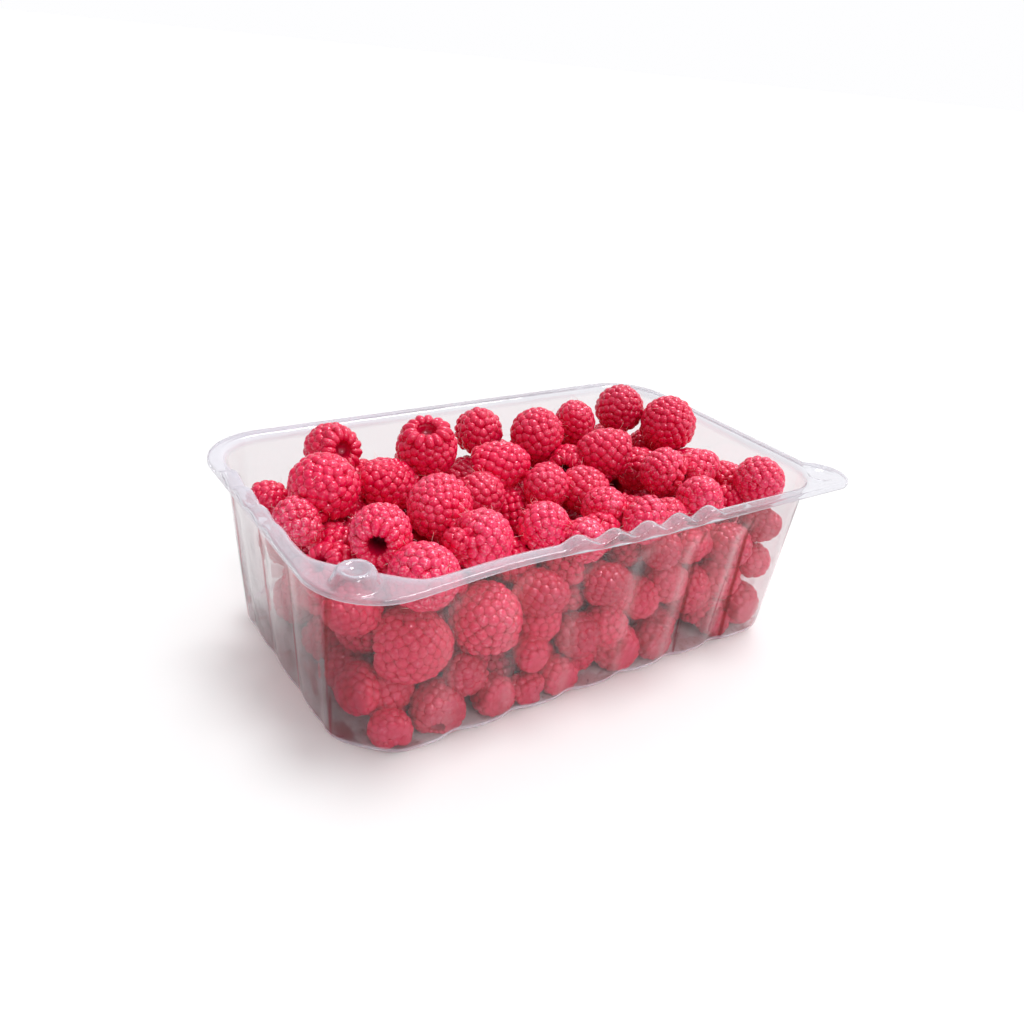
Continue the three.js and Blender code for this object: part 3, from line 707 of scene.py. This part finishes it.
def loose_berry(*row):
    """A berry of the inner layers, from its x, y, z, size, lean and heading."""
    berry = {**dict(zip(BERRY_VALUES, row)), "hollow": 0, "level": "below", "loose": True}
    return {**berry, "down": 0.0, "deep": INNER_SHADE}


def inner_berries():
    """The rows along the walls and the lines across the middle, left free above the low corner."""
    low, middle, high = ROW_HEIGHTS
    places = [*row_places(low, 0), *row_places(middle, 0.5), *middle_places(low)]
    for place in (*row_places(high, 0), *middle_places(high)):
        if not (place[0] < LOW_CORNER["x"] and place[1] > LOW_CORNER["y"]):
            places.append(place)
    draws = even_draws()
    for place in places:
        size = BERRY_SIZE + BERRY_SIZE_SPREAD * (next(draws) - 0.5)
        lean = LEAN["least"] + LEAN["spread"] * next(draws)
        heading = 360 * next(draws)
        yield loose_berry(*place, size, lean, heading)


def filler_berries():
    """Berries in the middle layer, and in a row behind those at the front wall."""
    middle = ROW_HEIGHTS[1]
    places = [(x, y, middle, FILLER_SIZE) for x, y, _ in middle_places(middle)]
    for i in range(BEHIND_FRONT["count"]):
        x = BEHIND_FRONT["first_x"] + i * BEHIND_FRONT["pitch"]
        for level, height in enumerate(ROW_HEIGHTS):
            shift = BEHIND_FRONT["pitch"] / 2 * (level % 2)
            places.append((x + shift, BEHIND_FRONT["y"], height, BEHIND_FRONT["size"]))
    for x, y, z, size in places:
        yield loose_berry(x, y, z, size, LEAN["least"], FILLER_TURN["x"] * x + FILLER_TURN["y"] * y)


def lay_berries():
    """Every berry of the heap: those placed one by one, and those settled among them."""
    berries = placed_berries()
    berries += inner_berries()
    settle(berries)
    for berry in berries:
        berry["loose"] = False
        if berry["level"] == "below" and berry["x"] < LEFT_ROW["x"] and berry["z"] < LEFT_ROW["below"]:
            berry["x"] += LEFT_ROW["moved"]
    berries += filler_berries()
    settle(berries)
    return [b for b in berries if not b["loose"] or b["z"] < FILL_TOP]


berries = lay_berries()


# ------------------------------------------------------------------------------------------------
# The raspberries. Each is a thimble of about a hundred small juicy drupelets grown together round
# a hollow, where it was pulled off its core. The kinds differ in how wide, long and pointed they
# are, and each is one joined piece.

DRUPELET_PITCH = 3.25
TURN_OF_SPIRAL = math.pi * (3 - math.sqrt(5))
RIM_ANGLE = math.radians(136)
CELL_AREA = 0.866
SPIRAL_SCATTER = 0.35
RELAX = {"steps": 16, "push": 0.3}
# Along Y, the way back over which berries turn to the riper colour: painted shade towards the back.
BACK_SHADE_Y = (0, 35)
BODY_SIDES = 18
BODY_STEPS = 10
OUTLINE_POINTS = 90
BERRY_SPREAD = {"pitch": (0.95, 1.06), "stretch": (0.96, 1.03), "bend": (-0.05, 0.05)}
# These are for a berry of half size 1. Drupelets on its side are in shares of their pitch, and the
# hollow is given by radius and height, from its lip up to its top.
DRUPELET = {"bulge": (0.50, 0.62), "width": (0.60, 0.70), "sunk": 0.45, "body_inset": 0.28}
RIM_ROW = {"count": 13, "radius": 0.54, "height": -0.64, "lean": 0.35, "scatter": (-0.12, 0.12)}
RIM_DRUPELET = {"fill": 0.66, "around": (0.95, 1.1), "across": (0.27, 0.33), "bulge": (0.19, 0.23)}
HOLLOW = (
    (0.64, -0.70),
    (0.52, -0.76),
    (0.40, -0.76),
    (0.32, -0.66),
    (0.27, -0.40),
    (0.24, -0.05),
    (0.0, 0.05),
)
HOLLOW_SHADE = {"heights": (-0.75, -0.15), "share": 0.8, "below": 0.3}
LIP_POINTS = 3
KINDS = {
    "raspberries_blunt": {"width": 0.95, "length": 1.0, "taper": 0.10},
    "raspberries_round": {"width": 0.97, "length": 0.93, "taper": 0.02},
    "raspberries_long": {"width": 0.85, "length": 1.08, "taper": 0.13},
}


def arrays_of(bm):
    """A shape's points and triangles, which face outwards."""
    bmesh.ops.triangulate(bm, faces=bm.faces[:])
    bmesh.ops.recalc_face_normals(bm, faces=bm.faces[:])
    bm.verts.index_update()
    points = np.array([v.co[:] for v in bm.verts])
    triangles = np.array([[v.index for v in f.verts] for f in bm.faces])
    bm.free()
    return points, triangles


def drupelet(sides, rings):
    """A closed dome, 1 in radius and 1 high: its vertices and triangles."""
    bm = bmesh.new()
    bmesh.ops.create_uvsphere(bm, u_segments=sides, v_segments=2 * rings, radius=1)
    everything = bm.verts[:] + bm.edges[:] + bm.faces[:]
    bmesh.ops.bisect_plane(
        bm, geom=everything, dist=1e-4, plane_co=(0, 0, 0), plane_no=(0, 0, 1), clear_inner=True
    )
    bmesh.ops.holes_fill(bm, edges=[e for e in bm.edges if e.is_boundary], sides=0)
    return arrays_of(bm)


def berry_body(outline, inwards, depth):
    """The thimble under the drupelets, spun from its outline: vertices, triangles, and the painted
    shade of each, darker further down in the hollow."""
    radii, heights, normals = outline
    keep = slice(0, OUTLINE_POINTS, OUTLINE_POINTS // BODY_STEPS)
    outside = np.stack([radii, heights], axis=1)[keep] - normals[keep] * inwards
    lip_height = HOLLOW[LIP_POINTS - 1][1]
    hollow = [(r, mix(lip_height, z, depth)) for r, z in HOLLOW[LIP_POINTS:]]
    profile = [(max(0.0, r), z) for r, z in outside] + list(HOLLOW[:LIP_POINTS]) + hollow
    profile[0] = (0.0, profile[0][1])
    bm = bmesh.new()
    verts = [bm.verts.new((r, 0, z)) for r, z in profile]
    edges = [bm.edges.new(pair) for pair in zip(verts, verts[1:])]
    bmesh.ops.spin(
        bm, geom=verts + edges, cent=(0, 0, 0), axis=(0, 0, 1), angle=2 * math.pi,
        steps=BODY_SIDES, use_merge=True,
    )
    bmesh.ops.remove_doubles(bm, verts=bm.verts[:], dist=1e-5)
    points, triangles = arrays_of(bm)
    heights = points[:, 2]
    distance = np.hypot(points[:, 0], points[:, 1])
    in_hollow = (distance < HOLLOW[LIP_POINTS - 1][0]) & (heights < HOLLOW_SHADE["below"])
    shade = smooth_ramp(heights, *HOLLOW_SHADE["heights"]) * HOLLOW_SHADE["share"]
    return points, triangles, np.where(in_hollow, shade, 0.0)


def berry_outline(kind):
    """Radius, height and outward normal of a berry's side, from the tip to the rim, for a berry
    of half size 1."""
    angle = np.linspace(0, RIM_ANGLE, OUTLINE_POINTS)
    radii = kind["width"] * np.sin(angle) * (1 - kind["taper"] * np.cos(angle))
    heights = kind["length"] * np.cos(angle)
    tangents = np.stack([np.gradient(radii), np.gradient(heights)], axis=1)
    tangents /= np.linalg.norm(tangents, axis=1, keepdims=True)
    normals = np.stack([-tangents[:, 1], tangents[:, 0]], axis=1)
    return radii, heights, normals


def spun(radius, around, height):
    """Points at a radius and a height, turned about the berry's axis."""
    heights = np.broadcast_to(height, around.shape)
    return np.stack([radius * np.cos(around), radius * np.sin(around), heights], axis=1)


def sideways(around):
    return np.stack([-np.sin(around), np.cos(around), np.zeros_like(around)], axis=1)


def drupelet_places(outline, pitch, random):
    """Places on a berry's side in a growth spiral, then pushed apart to even gaps."""
    radii, heights, _ = outline
    lengths = np.hypot(np.diff(radii), np.diff(heights))
    areas = np.concatenate([[0], np.cumsum(math.pi * (radii[1:] + radii[:-1]) * lengths)])
    count = int(areas[-1] / (CELL_AREA * pitch**2))
    shares = (np.arange(count) + 0.5) / count * areas[-1]
    spot = np.interp(shares, areas, np.arange(OUTLINE_POINTS))
    around = np.arange(count) * TURN_OF_SPIRAL + random.uniform(0, SPIRAL_SCATTER, count)
    index = np.clip(np.round(spot).astype(int), 0, OUTLINE_POINTS - 1)
    for _ in range(RELAX["steps"]):
        points = spun(radii[index], around, heights[index])
        away = points[:, None] - points[None]
        distance = np.linalg.norm(away, axis=2)
        np.fill_diagonal(distance, math.inf)
        push = np.maximum(0, pitch - distance) * RELAX["push"] / distance
        points = points + (away * push[:, :, None]).sum(axis=1)
        around = np.arctan2(points[:, 1], points[:, 0])
        radius = np.hypot(points[:, 0], points[:, 1])
        apart = (radius[:, None] - radii[None]) ** 2 + (points[:, 2][:, None] - heights[None]) ** 2
        index = apart.argmin(axis=1)
    return index, around


def side_drupelets(outline, pitch, random):
    """Middles, ways around and outwards, and half sizes of the drupelets on a berry's side."""
    radii, heights, normals = outline
    index, around = drupelet_places(outline, pitch, random)
    out = spun(normals[index, 0], around, normals[index, 1])
    bulge = random.uniform(*DRUPELET["bulge"], len(index)) * pitch
    width = random.uniform(*DRUPELET["width"], (len(index), 2)) * pitch
    middles = spun(radii[index], around, heights[index]) - out * pitch * DRUPELET["sunk"]
    return middles, sideways(around), out, np.column_stack([width, bulge])


def rim_drupelets(random):
    """The same for the long drupelets that fold over the rim into the hollow."""
    count, radius = RIM_ROW["count"], RIM_ROW["radius"]
    turns = (np.arange(count) + random.uniform(*RIM_ROW["scatter"], count)) * 2 * math.pi / count
    out = spun(RIM_ROW["lean"], turns, -1.0)
    out /= np.linalg.norm(out, axis=1, keepdims=True)
    around_half = RIM_DRUPELET["fill"] * 2 * math.pi * radius / count
    around = random.uniform(*RIM_DRUPELET["around"], count) * around_half
    across = random.uniform(*RIM_DRUPELET["across"], count)
    bulge = random.uniform(*RIM_DRUPELET["bulge"], count)
    middles = spun(radius, turns, RIM_ROW["height"])
    return middles, sideways(turns), out, np.column_stack([around, across, bulge])


def turned_to(lean, heading):
    turn = Matrix.Rotation(math.radians(heading), 3, "Z") @ Matrix.Rotation(math.radians(lean), 3, "Y")
    return np.array(turn)


# How far a low berry sinks onto the base and leans on the front wall, at which gap under it and at
# which heights, and how much of its depth is kept where it is pressed flat.
PRESS = {"base": 2.6, "gaps": (1.0, 6.0), "wall": 0.7, "low_wall": 2.8, "low": (20.0, 10.0), "kept": 0.12}


def pressed_flat(points, berry):
    """A low berry sinks onto the base and leans on the front wall, and is pressed flat there."""
    gap_below = berry["z"] - berry["size"] / 2
    sunk = PRESS["base"] * (1 - float(smooth_ramp(gap_below, *PRESS["gaps"])))
    low = float(ramp(berry["z"], *PRESS["low"]))
    pushed = mix(PRESS["wall"], PRESS["low_wall"], low) if berry["level"] == "front" else 0.0
    x, y, z = points.T - np.array([[0.0], [pushed], [sunk]])
    floor_height = FRAME_SHEET + GAP
    z = np.where(z < floor_height, floor_height + (z - floor_height) * PRESS["kept"], z)
    share = ramp(z, 0, RIM_HEIGHT)
    room = mix(BASE["width"], MOUTH["width"], share) / 2 - FRAME_SHEET - PLEAT["depth"] - GAP
    front = pressed_in(x) * share - room
    y = np.where(y < front, front + (y - front) * PRESS["kept"], y)
    beyond = corner_shift(x, y, share, FRAME_SHEET + GAP)
    return np.stack([x + beyond, y + beyond, z], axis=1)


def berry_tints(berry, random, dome_heights, count, hollow):
    """For each point the tones of the berry, which hold its painted shade, and of the drupelet, how far
    up the drupelet it is, and the painted shade in the hollow."""
    step, rest = len(dome_heights), len(hollow)
    # Painted shade: berries towards the back, at the front wall, inside the heap and at the back right get
    # a deeper colour.
    tone_and_shade = mix(random.uniform(0, 1), 1.0, float(ramp(berry["y"], *BACK_SHADE_Y))) + berry["deep"]
    bead_tones = np.repeat(random.uniform(0, 1, count), step)
    tints = np.zeros((count * step + rest, 4))
    tints[:, 0] = tone_and_shade
    tints[:, 1] = np.concatenate([bead_tones, np.full(rest, 0.5)]) + berry["down"]
    tints[:, 2] = np.concatenate([np.tile(dome_heights, count), np.zeros(rest)])
    tints[:, 3] = np.concatenate([np.zeros(count * step), hollow])
    return tints


def build_berry(berry, kind, dome, random):
    """One berry in millimetres: points, triangles and tints."""
    dome_points, dome_triangles = dome
    half = berry["size"] / 2
    pitch = DRUPELET_PITCH / half * random.uniform(*BERRY_SPREAD["pitch"])
    outline = berry_outline(kind)
    both = zip(side_drupelets(outline, pitch, random), rim_drupelets(random))
    middles, east, out, sizes = (np.concatenate(pair) for pair in both)
    up = np.cross(out, east)
    scaled = dome_points[None] * sizes[:, None]
    beads = middles[:, None] + scaled[:, :, :1] * east[:, None] + scaled[:, :, 1:2] * up[:, None]
    beads = beads + scaled[:, :, 2:] * out[:, None]
    inset = pitch * DRUPELET["body_inset"]
    body_points, body_triangles, hollow = berry_body(outline, inset, berry["hollow"] or 1)
    count, step = len(middles), len(dome_points)
    triangles = dome_triangles[None] + (np.arange(count) * step)[:, None, None]
    points = np.concatenate([beads.reshape(-1, 3), body_points])
    triangles = np.concatenate([triangles.reshape(-1, 3), body_triangles + count * step])
    tints = berry_tints(berry, random, dome_points[:, 2], count, hollow)
    spin = random.uniform(0, 2 * math.pi)
    points = points @ np.array(Matrix.Rotation(spin, 3, "Z")).T
    points = points * random.uniform(*BERRY_SPREAD["stretch"], 3)
    points[:, 0] += random.uniform(*BERRY_SPREAD["bend"]) * points[:, 2] ** 2
    points = points @ turned_to(berry["lean"], berry["heading"]).T * half
    points = points + np.array([berry["x"], berry["y"], berry["z"]])
    return pressed_flat(points, berry), triangles, tints


def mesh_from_arrays(name, points, triangles, tints):
    """A smooth mesh from points in millimetres and triangles, with its tints as an attribute."""
    mesh = bpy.data.meshes.new(name)
    mesh.vertices.add(len(points))
    mesh.vertices.foreach_set("co", (points * MM).astype(np.float32).ravel())
    mesh.loops.add(triangles.size)
    mesh.loops.foreach_set("vertex_index", triangles.astype(np.int32).ravel())
    mesh.polygons.add(len(triangles))
    mesh.polygons.foreach_set("loop_start", np.arange(0, triangles.size, 3, dtype=np.int32))
    mesh.polygons.foreach_set("use_smooth", np.ones(len(triangles), dtype=bool))
    attribute = mesh.color_attributes.new(name="tints", type="FLOAT_COLOR", domain="POINT")
    attribute.data.foreach_set("color", tints.astype(np.float32).ravel())
    mesh.update(calc_edges=True)
    mesh.validate()
    return mesh


def join_arrays(parts):
    """Joins (points, triangles, tints) of many things into one."""
    points, triangles, tints = zip(*parts)
    starts = np.cumsum([0] + [len(p) for p in points[:-1]])
    shifted = [t + start for t, start in zip(triangles, starts)]
    return np.concatenate(points), np.concatenate(shifted), np.concatenate(tints)


RIPE = (0.96, 0.001, 0.085, 1)
RIPER = (0.74, 0.001, 0.055, 1)
PALE = (0.98, 0.060, 0.17, 1)
# A deeper red for painted shade on berries.
SHADED_RED = (0.42, 0.001, 0.028, 1)
# A darker red for the painted shade in the creases between drupelets.
CREVICE_SHADE = (0.74, 0.001, 0.050, 1)
# Near black red for the painted shade deep in the hollows and on the heap's core.
INSIDE_SHADE = (0.07, 0.001, 0.008, 1)
DOWN = (0.93, 0.40, 0.47, 1)
RIPER_SHARE = 0.85
PALE_SHARE = 0.45
CREVICE_SHADE_SHARE = 0.85
DOWN_SHARES = (0.08, 1.2)
KIND_STEP = 7
WALL_REACH = 0.9


def berry_material():
    """Moist crimson skin that lets some light through, with pale down on it. Painted shade makes it
    darker between the drupelets, deep in the hollows, on the heap's core, and on berries at the front
    wall, inside the heap and towards the back."""
    material, tree, output = start_material("berry")
    tints = put(tree, "ShaderNodeAttribute", {"attribute_name": "tints"})
    parts = put(tree, "ShaderNodeSeparateColor", inputs={0: tints.outputs["Color"]})
    tone_and_shade, bead, height = parts.outputs
    coordinates = object_coordinates(tree)
    patches = noise(tree, coordinates, 120.0)
    fuzz = noise(tree, coordinates, 1500.0, 3.0)
    colour = blend_colour(tree, between(tree, tone_and_shade, 0.0, 1.0, 0.0, RIPER_SHARE), RIPE, RIPER)
    # Painted shade: tones above 1 deepen the red further.
    colour = blend_colour(tree, between(tree, tone_and_shade, 1.0, 2.0), colour, SHADED_RED)
    lighter = calc(tree, "MULTIPLY", bead, between(tree, patches, 0.3, 0.7), PALE_SHARE)
    colour = blend_colour(tree, lighter, colour, PALE)
    # Painted shade: darker red low on each drupelet, in the creases between them.
    colour = blend_colour(tree, between(tree, height, 0.48, 0.84, CREVICE_SHADE_SHARE, 0.0), colour, CREVICE_SHADE)
    down_share = between(tree, bead, 0.0, 3.0, *DOWN_SHARES)
    downy = calc(tree, "MULTIPLY", between(tree, fuzz, 0.50, 0.72), down_share, height)
    colour = blend_colour(tree, downy, colour, DOWN)
    # Painted shade: dark red deep in the hollows and on the heap's core.
    colour = blend_colour(tree, tints.outputs["Alpha"], colour, INSIDE_SHADE)
    bump = put(tree, "ShaderNodeBump", inputs={"Strength": 0.25, "Distance": 0.0003, "Height": fuzz})
    shader = put(
        tree,
        "ShaderNodeBsdfPrincipled",
        inputs={
            "Base Color": colour,
            "Roughness": between(tree, fuzz, 0.35, 0.7, 0.08, 0.20),
            "Specular IOR Level": 1.0,
            "Specular Tint": (1.0, 0.62, 0.72, 1),
            "Subsurface Weight": 0.15,
            "Subsurface Radius": (1.0, 0.12, 0.10),
            "Subsurface Scale": 0.001,
            "Sheen Weight": 0.02,
            "Sheen Roughness": 0.35,
            "Sheen Tint": (1.0, 0.70, 0.76, 1),
            "Normal": bump.outputs[0],
        },
    )
    tree.links.new(shader.outputs[0], output.inputs["Surface"])
    return material


berry_skin = berry_material()
top_dome = drupelet(12, 3)
front_dome = drupelet(10, 3)
wall_dome = drupelet(8, 3)
inner_dome = drupelet(5, 2)
draws = np.random.default_rng(7)


def kind_of(number, berry):
    """The kind of a berry, and the piece that it joins."""
    names = list(KINDS)
    if berry["hollow"]:
        return "raspberries_round", "raspberries_open"
    name = names[number * KIND_STEP % len(names)]
    return name, name + {"top": "_on_top", "front": "_in_front", "below": "_below"}[berry["level"]]


def near_wall(berry):
    half_x, half_y, _, _ = room_at(berry["z"])
    reach = berry["size"] * WALL_REACH
    return abs(berry["x"]) > half_x - reach or abs(berry["y"]) > half_y - reach


HAIRS_PER_BERRY = 11
HAIRS_BELOW = 67.0


def hair_places(berry, points, dome, random):
    """Tops of some of a berry's drupelets, each with the way out of the berry there."""
    dome_points = dome[0]
    count = len(points) // len(dome_points) - 1
    beads = random.choice(count, min(count, HAIRS_PER_BERRY), replace=False)
    tops = points[beads * len(dome_points) + dome_points[:, 2].argmax()]
    ways = tops - np.array([berry["x"], berry["y"], berry["z"]])
    ways = ways / np.linalg.norm(ways, axis=1, keepdims=True)
    return [(top, way) for top, way in zip(tops, ways) if top[2] < HAIRS_BELOW]


groups = {}
hair_roots = []
place_draws = np.random.default_rng(5)
for number, berry in enumerate(berries):
    kind, piece_name = kind_of(number, berry)
    domes = {"top": top_dome, "front": front_dome, "below": wall_dome if near_wall(berry) else inner_dome}
    dome = domes[berry["level"]]
    made = build_berry(berry, KINDS[kind], dome, draws)
    groups.setdefault(piece_name, []).append(made)
    if berry["level"] == "top":
        hair_roots += hair_places(berry, made[0], dome, place_draws)

for piece_name, parts in groups.items():
    piece = new_object(piece_name, mesh_from_arrays(piece_name, *join_arrays(parts)), berry_skin)
    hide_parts("raspberries")
    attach(piece, "root")


# ------------------------------------------------------------------------------------------------
# Fine pale hairs, the dried styles of the flowers, which stand on some of the drupelets. Each is a
# thin tapered thread with three sides, and all of them are one joined piece.

HAIR = {"length": (1.2, 3.4), "radius": 0.06, "bend": 0.5, "scatter": 0.35, "taper": 0.7}
HAIR_SIDES = 3
HAIR_STEPS = 4
HAIR_PINK = (0.95, 0.62, 0.60, 1)
HAIR_PALE = (1.0, 0.94, 0.86, 1)


def hair(root, out, random):
    """One hair: points, triangles and tints."""
    length = random.uniform(*HAIR["length"])
    way = out + random.normal(0, HAIR["scatter"], 3)
    way /= np.linalg.norm(way)
    aside = np.cross(way, random.normal(0, 1, 3))
    aside /= np.linalg.norm(aside)
    across = np.cross(way, aside)
    along = np.linspace(0, 1, HAIR_STEPS)
    middles = root + length * (along[:, None] * way + (HAIR["bend"] * along**2)[:, None] * aside)
    turns = np.arange(HAIR_SIDES) * 2 * math.pi / HAIR_SIDES
    section = np.cos(turns)[:, None] * aside + np.sin(turns)[:, None] * across
    radii = HAIR["radius"] * (1 - HAIR["taper"] * along)
    points = (middles[:, None] + radii[:, None, None] * section[None]).reshape(-1, 3)
    triangles = []
    for step in range(HAIR_STEPS - 1):
        for side in range(HAIR_SIDES):
            a = step * HAIR_SIDES + side
            b = step * HAIR_SIDES + (side + 1) % HAIR_SIDES
            triangles += [(a, b, b + HAIR_SIDES), (a, b + HAIR_SIDES, a + HAIR_SIDES)]
    last = (HAIR_STEPS - 1) * HAIR_SIDES
    triangles += [(0, 2, 1), (last, last + 1, last + 2)]
    return points, np.array(triangles), np.zeros((len(points), 4))


def hair_material():
    material, tree, output = start_material("pale_hair")
    coordinates = object_coordinates(tree)
    colour = blend_colour(tree, noise(tree, coordinates, 300.0), HAIR_PINK, HAIR_PALE)
    shader = put(tree, "ShaderNodeBsdfPrincipled", inputs={"Base Color": colour, "Roughness": 0.5})
    tree.links.new(shader.outputs[0], output.inputs["Surface"])
    return material


hair_draws = np.random.default_rng(11)
hairs = [hair(root, out, hair_draws) for root, out in hair_roots]
styles = new_object("fine_hairs", mesh_from_arrays("fine_hairs", *join_arrays(hairs)), hair_material())
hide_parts("raspberries")
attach(styles, "root")


# ------------------------------------------------------------------------------------------------
# The heap's core: a dark red body that paints the shade seen down between the berries. It stays
# inside the rows along the walls and below the top berries.

CORE_INSET = 33.0
CORE_BELOW_TOPS = 17.0
CORE_BLEND = 2.0
CORE_CUTS = 24
CORE_LUMPS = {"height": 0.8, "pitch": 9.0}
# The same four tints as in a berry, set for deep painted shade: the berry's tone, the drupelet's
# tone, how far up it is, and the painted shade as in the hollow.
CORE_SHADE_TINTS = (1.0, 0.0, 0.3, 0.4)


def core_top(x, y):
    """Height of the core's top: the top berries' middles, the near ones counting most."""
    tops = np.array([(b["x"], b["y"], b["z"]) for b in berries if b["level"] == "top"])
    weights = 1 / (CORE_BLEND**2 + (tops[:, 0] - x) ** 2 + (tops[:, 1] - y) ** 2) ** 2
    return (weights * tops[:, 2]).sum() / weights.sum() - CORE_BELOW_TOPS


def core_mesh():
    bm = bmesh.new()
    bmesh.ops.create_cube(bm, size=2)
    bmesh.ops.subdivide_edges(bm, edges=bm.edges[:], cuts=CORE_CUTS, use_grid_fill=True)
    bottom = FRAME_SHEET + 2 * GAP
    low_x, low_y, _, _ = room_at(0)
    high_x, high_y, _, _ = room_at(RIM_HEIGHT)
    for v in bm.verts:
        share = (v.co.z + 1) / 2
        x = v.co.x * (mix(low_x, high_x, share) - CORE_INSET)
        y = v.co.y * (mix(low_y, high_y, share) - CORE_INSET)
        turn_x, turn_y = (2 * math.pi * along / CORE_LUMPS["pitch"] for along in (x, y))
        lump = CORE_LUMPS["height"] * math.sin(turn_x) * math.sin(turn_y) * share
        v.co = (x, y, mix(bottom, core_top(x, y), share) + lump)
    smooth_in_metres(bm)
    mesh = mesh_of("heap_core", bm)
    attribute = mesh.color_attributes.new(name="tints", type="FLOAT_COLOR", domain="POINT")
    attribute.data.foreach_set("color", np.tile(CORE_SHADE_TINTS, len(mesh.vertices)))
    return mesh


core = new_object("heap_core", core_mesh(), berry_skin)
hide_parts("raspberries")
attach(core, "root")


# ------------------------------------------------------------------------------------------------
# The studio: a wide white floor, a pale room that is brighter on the right, one soft light from
# high on the right, and a weaker one from the front. The camera looks down on the front left corner.

FLOOR_RADIUS = 60.0
FLOOR_LEVEL = -0.0003
FLOOR_COLOUR = (0.855, 0.862, 0.862, 1)


def floor_mesh():
    bm = bmesh.new()
    bmesh.ops.create_circle(bm, cap_ends=True, segments=64, radius=FLOOR_RADIUS)
    bmesh.ops.translate(bm, vec=(0, 0, FLOOR_LEVEL), verts=bm.verts[:])
    if bm.faces[:][0].normal.z < 0:
        bmesh.ops.reverse_faces(bm, faces=bm.faces[:])
    return mesh_of("floor", bm)


def floor_material():
    material, tree, output = start_material("white_floor")
    shader = put(tree, "ShaderNodeBsdfPrincipled", inputs={"Base Color": FLOOR_COLOUR, "Roughness": 0.6})
    tree.links.new(shader.outputs[0], output.inputs["Surface"])
    return material


floor = new_object("floor", floor_mesh(), floor_material())

ROOM_COLOUR = (0.99, 0.99, 1.0, 1)
ROOM_LIGHT = {"from": (0.80, -0.05, 0.60), "turned": (-0.4, 0.9), "glow": (0.30, 1.04)}
world = bpy.data.worlds.new("room")
world.use_nodes = True
room_tree = world.node_tree
room_tree.nodes.clear()
seen = put(room_tree, "ShaderNodeLightPath").outputs["Is Camera Ray"]
way = put(room_tree, "ShaderNodeTexCoord").outputs["Generated"]
dot_product = {"operation": "DOT_PRODUCT"}
facing = put(room_tree, "ShaderNodeVectorMath", dot_product, {0: way, 1: ROOM_LIGHT["from"]})
glow = between(room_tree, facing.outputs["Value"], *ROOM_LIGHT["turned"], *ROOM_LIGHT["glow"])
strength = between(room_tree, seen, 0.0, 1.0, glow, 1.0)
room = put(room_tree, "ShaderNodeBackground", inputs={"Color": ROOM_COLOUR, "Strength": strength})
room_output = room_tree.nodes.new("ShaderNodeOutputWorld")
room_tree.links.new(room.outputs[0], room_output.inputs["Surface"])
scene.world = world

SOFT_LIGHTS = {
    "key_light": {"from": (0.40, 0.16, 0.95), "angle": 24.0, "strength": 1.42},
    "fill_light": {"from": (-0.10, -0.75, 0.80), "angle": 14.0, "strength": 0.46},
}
for light_name, values in SOFT_LIGHTS.items():
    data = bpy.data.lights.new(light_name, "SUN")
    data.angle = math.radians(values["angle"])
    data.energy = values["strength"]
    light = bpy.data.objects.new(light_name, data)
    light.location = values["from"]
    light.rotation_euler = (-Vector(values["from"])).to_track_quat("-Z", "Y").to_euler()
    scene.collection.objects.link(light)

CAMERA_AT = Vector((-0.166339, -0.222587, 0.180195))
CAMERA_AIM = Vector((0.009269, 0.018847, 0.030))
CAMERA_ROLL = math.radians(5.758)
CAMERA_LENS = 31.649
camera_data = bpy.data.cameras.new("camera")
camera_data.lens = CAMERA_LENS
camera_data.sensor_width = 36.0
camera_data.clip_start = 0.01
camera = bpy.data.objects.new("camera", camera_data)
look = (CAMERA_AIM - CAMERA_AT).to_track_quat("-Z", "Y").to_matrix() @ Matrix.Rotation(CAMERA_ROLL, 3, "Z")
camera.matrix_world = Matrix.Translation(CAMERA_AT) @ look.to_4x4()
scene.collection.objects.link(camera)
scene.camera = camera
scene.view_settings.view_transform = "Standard"
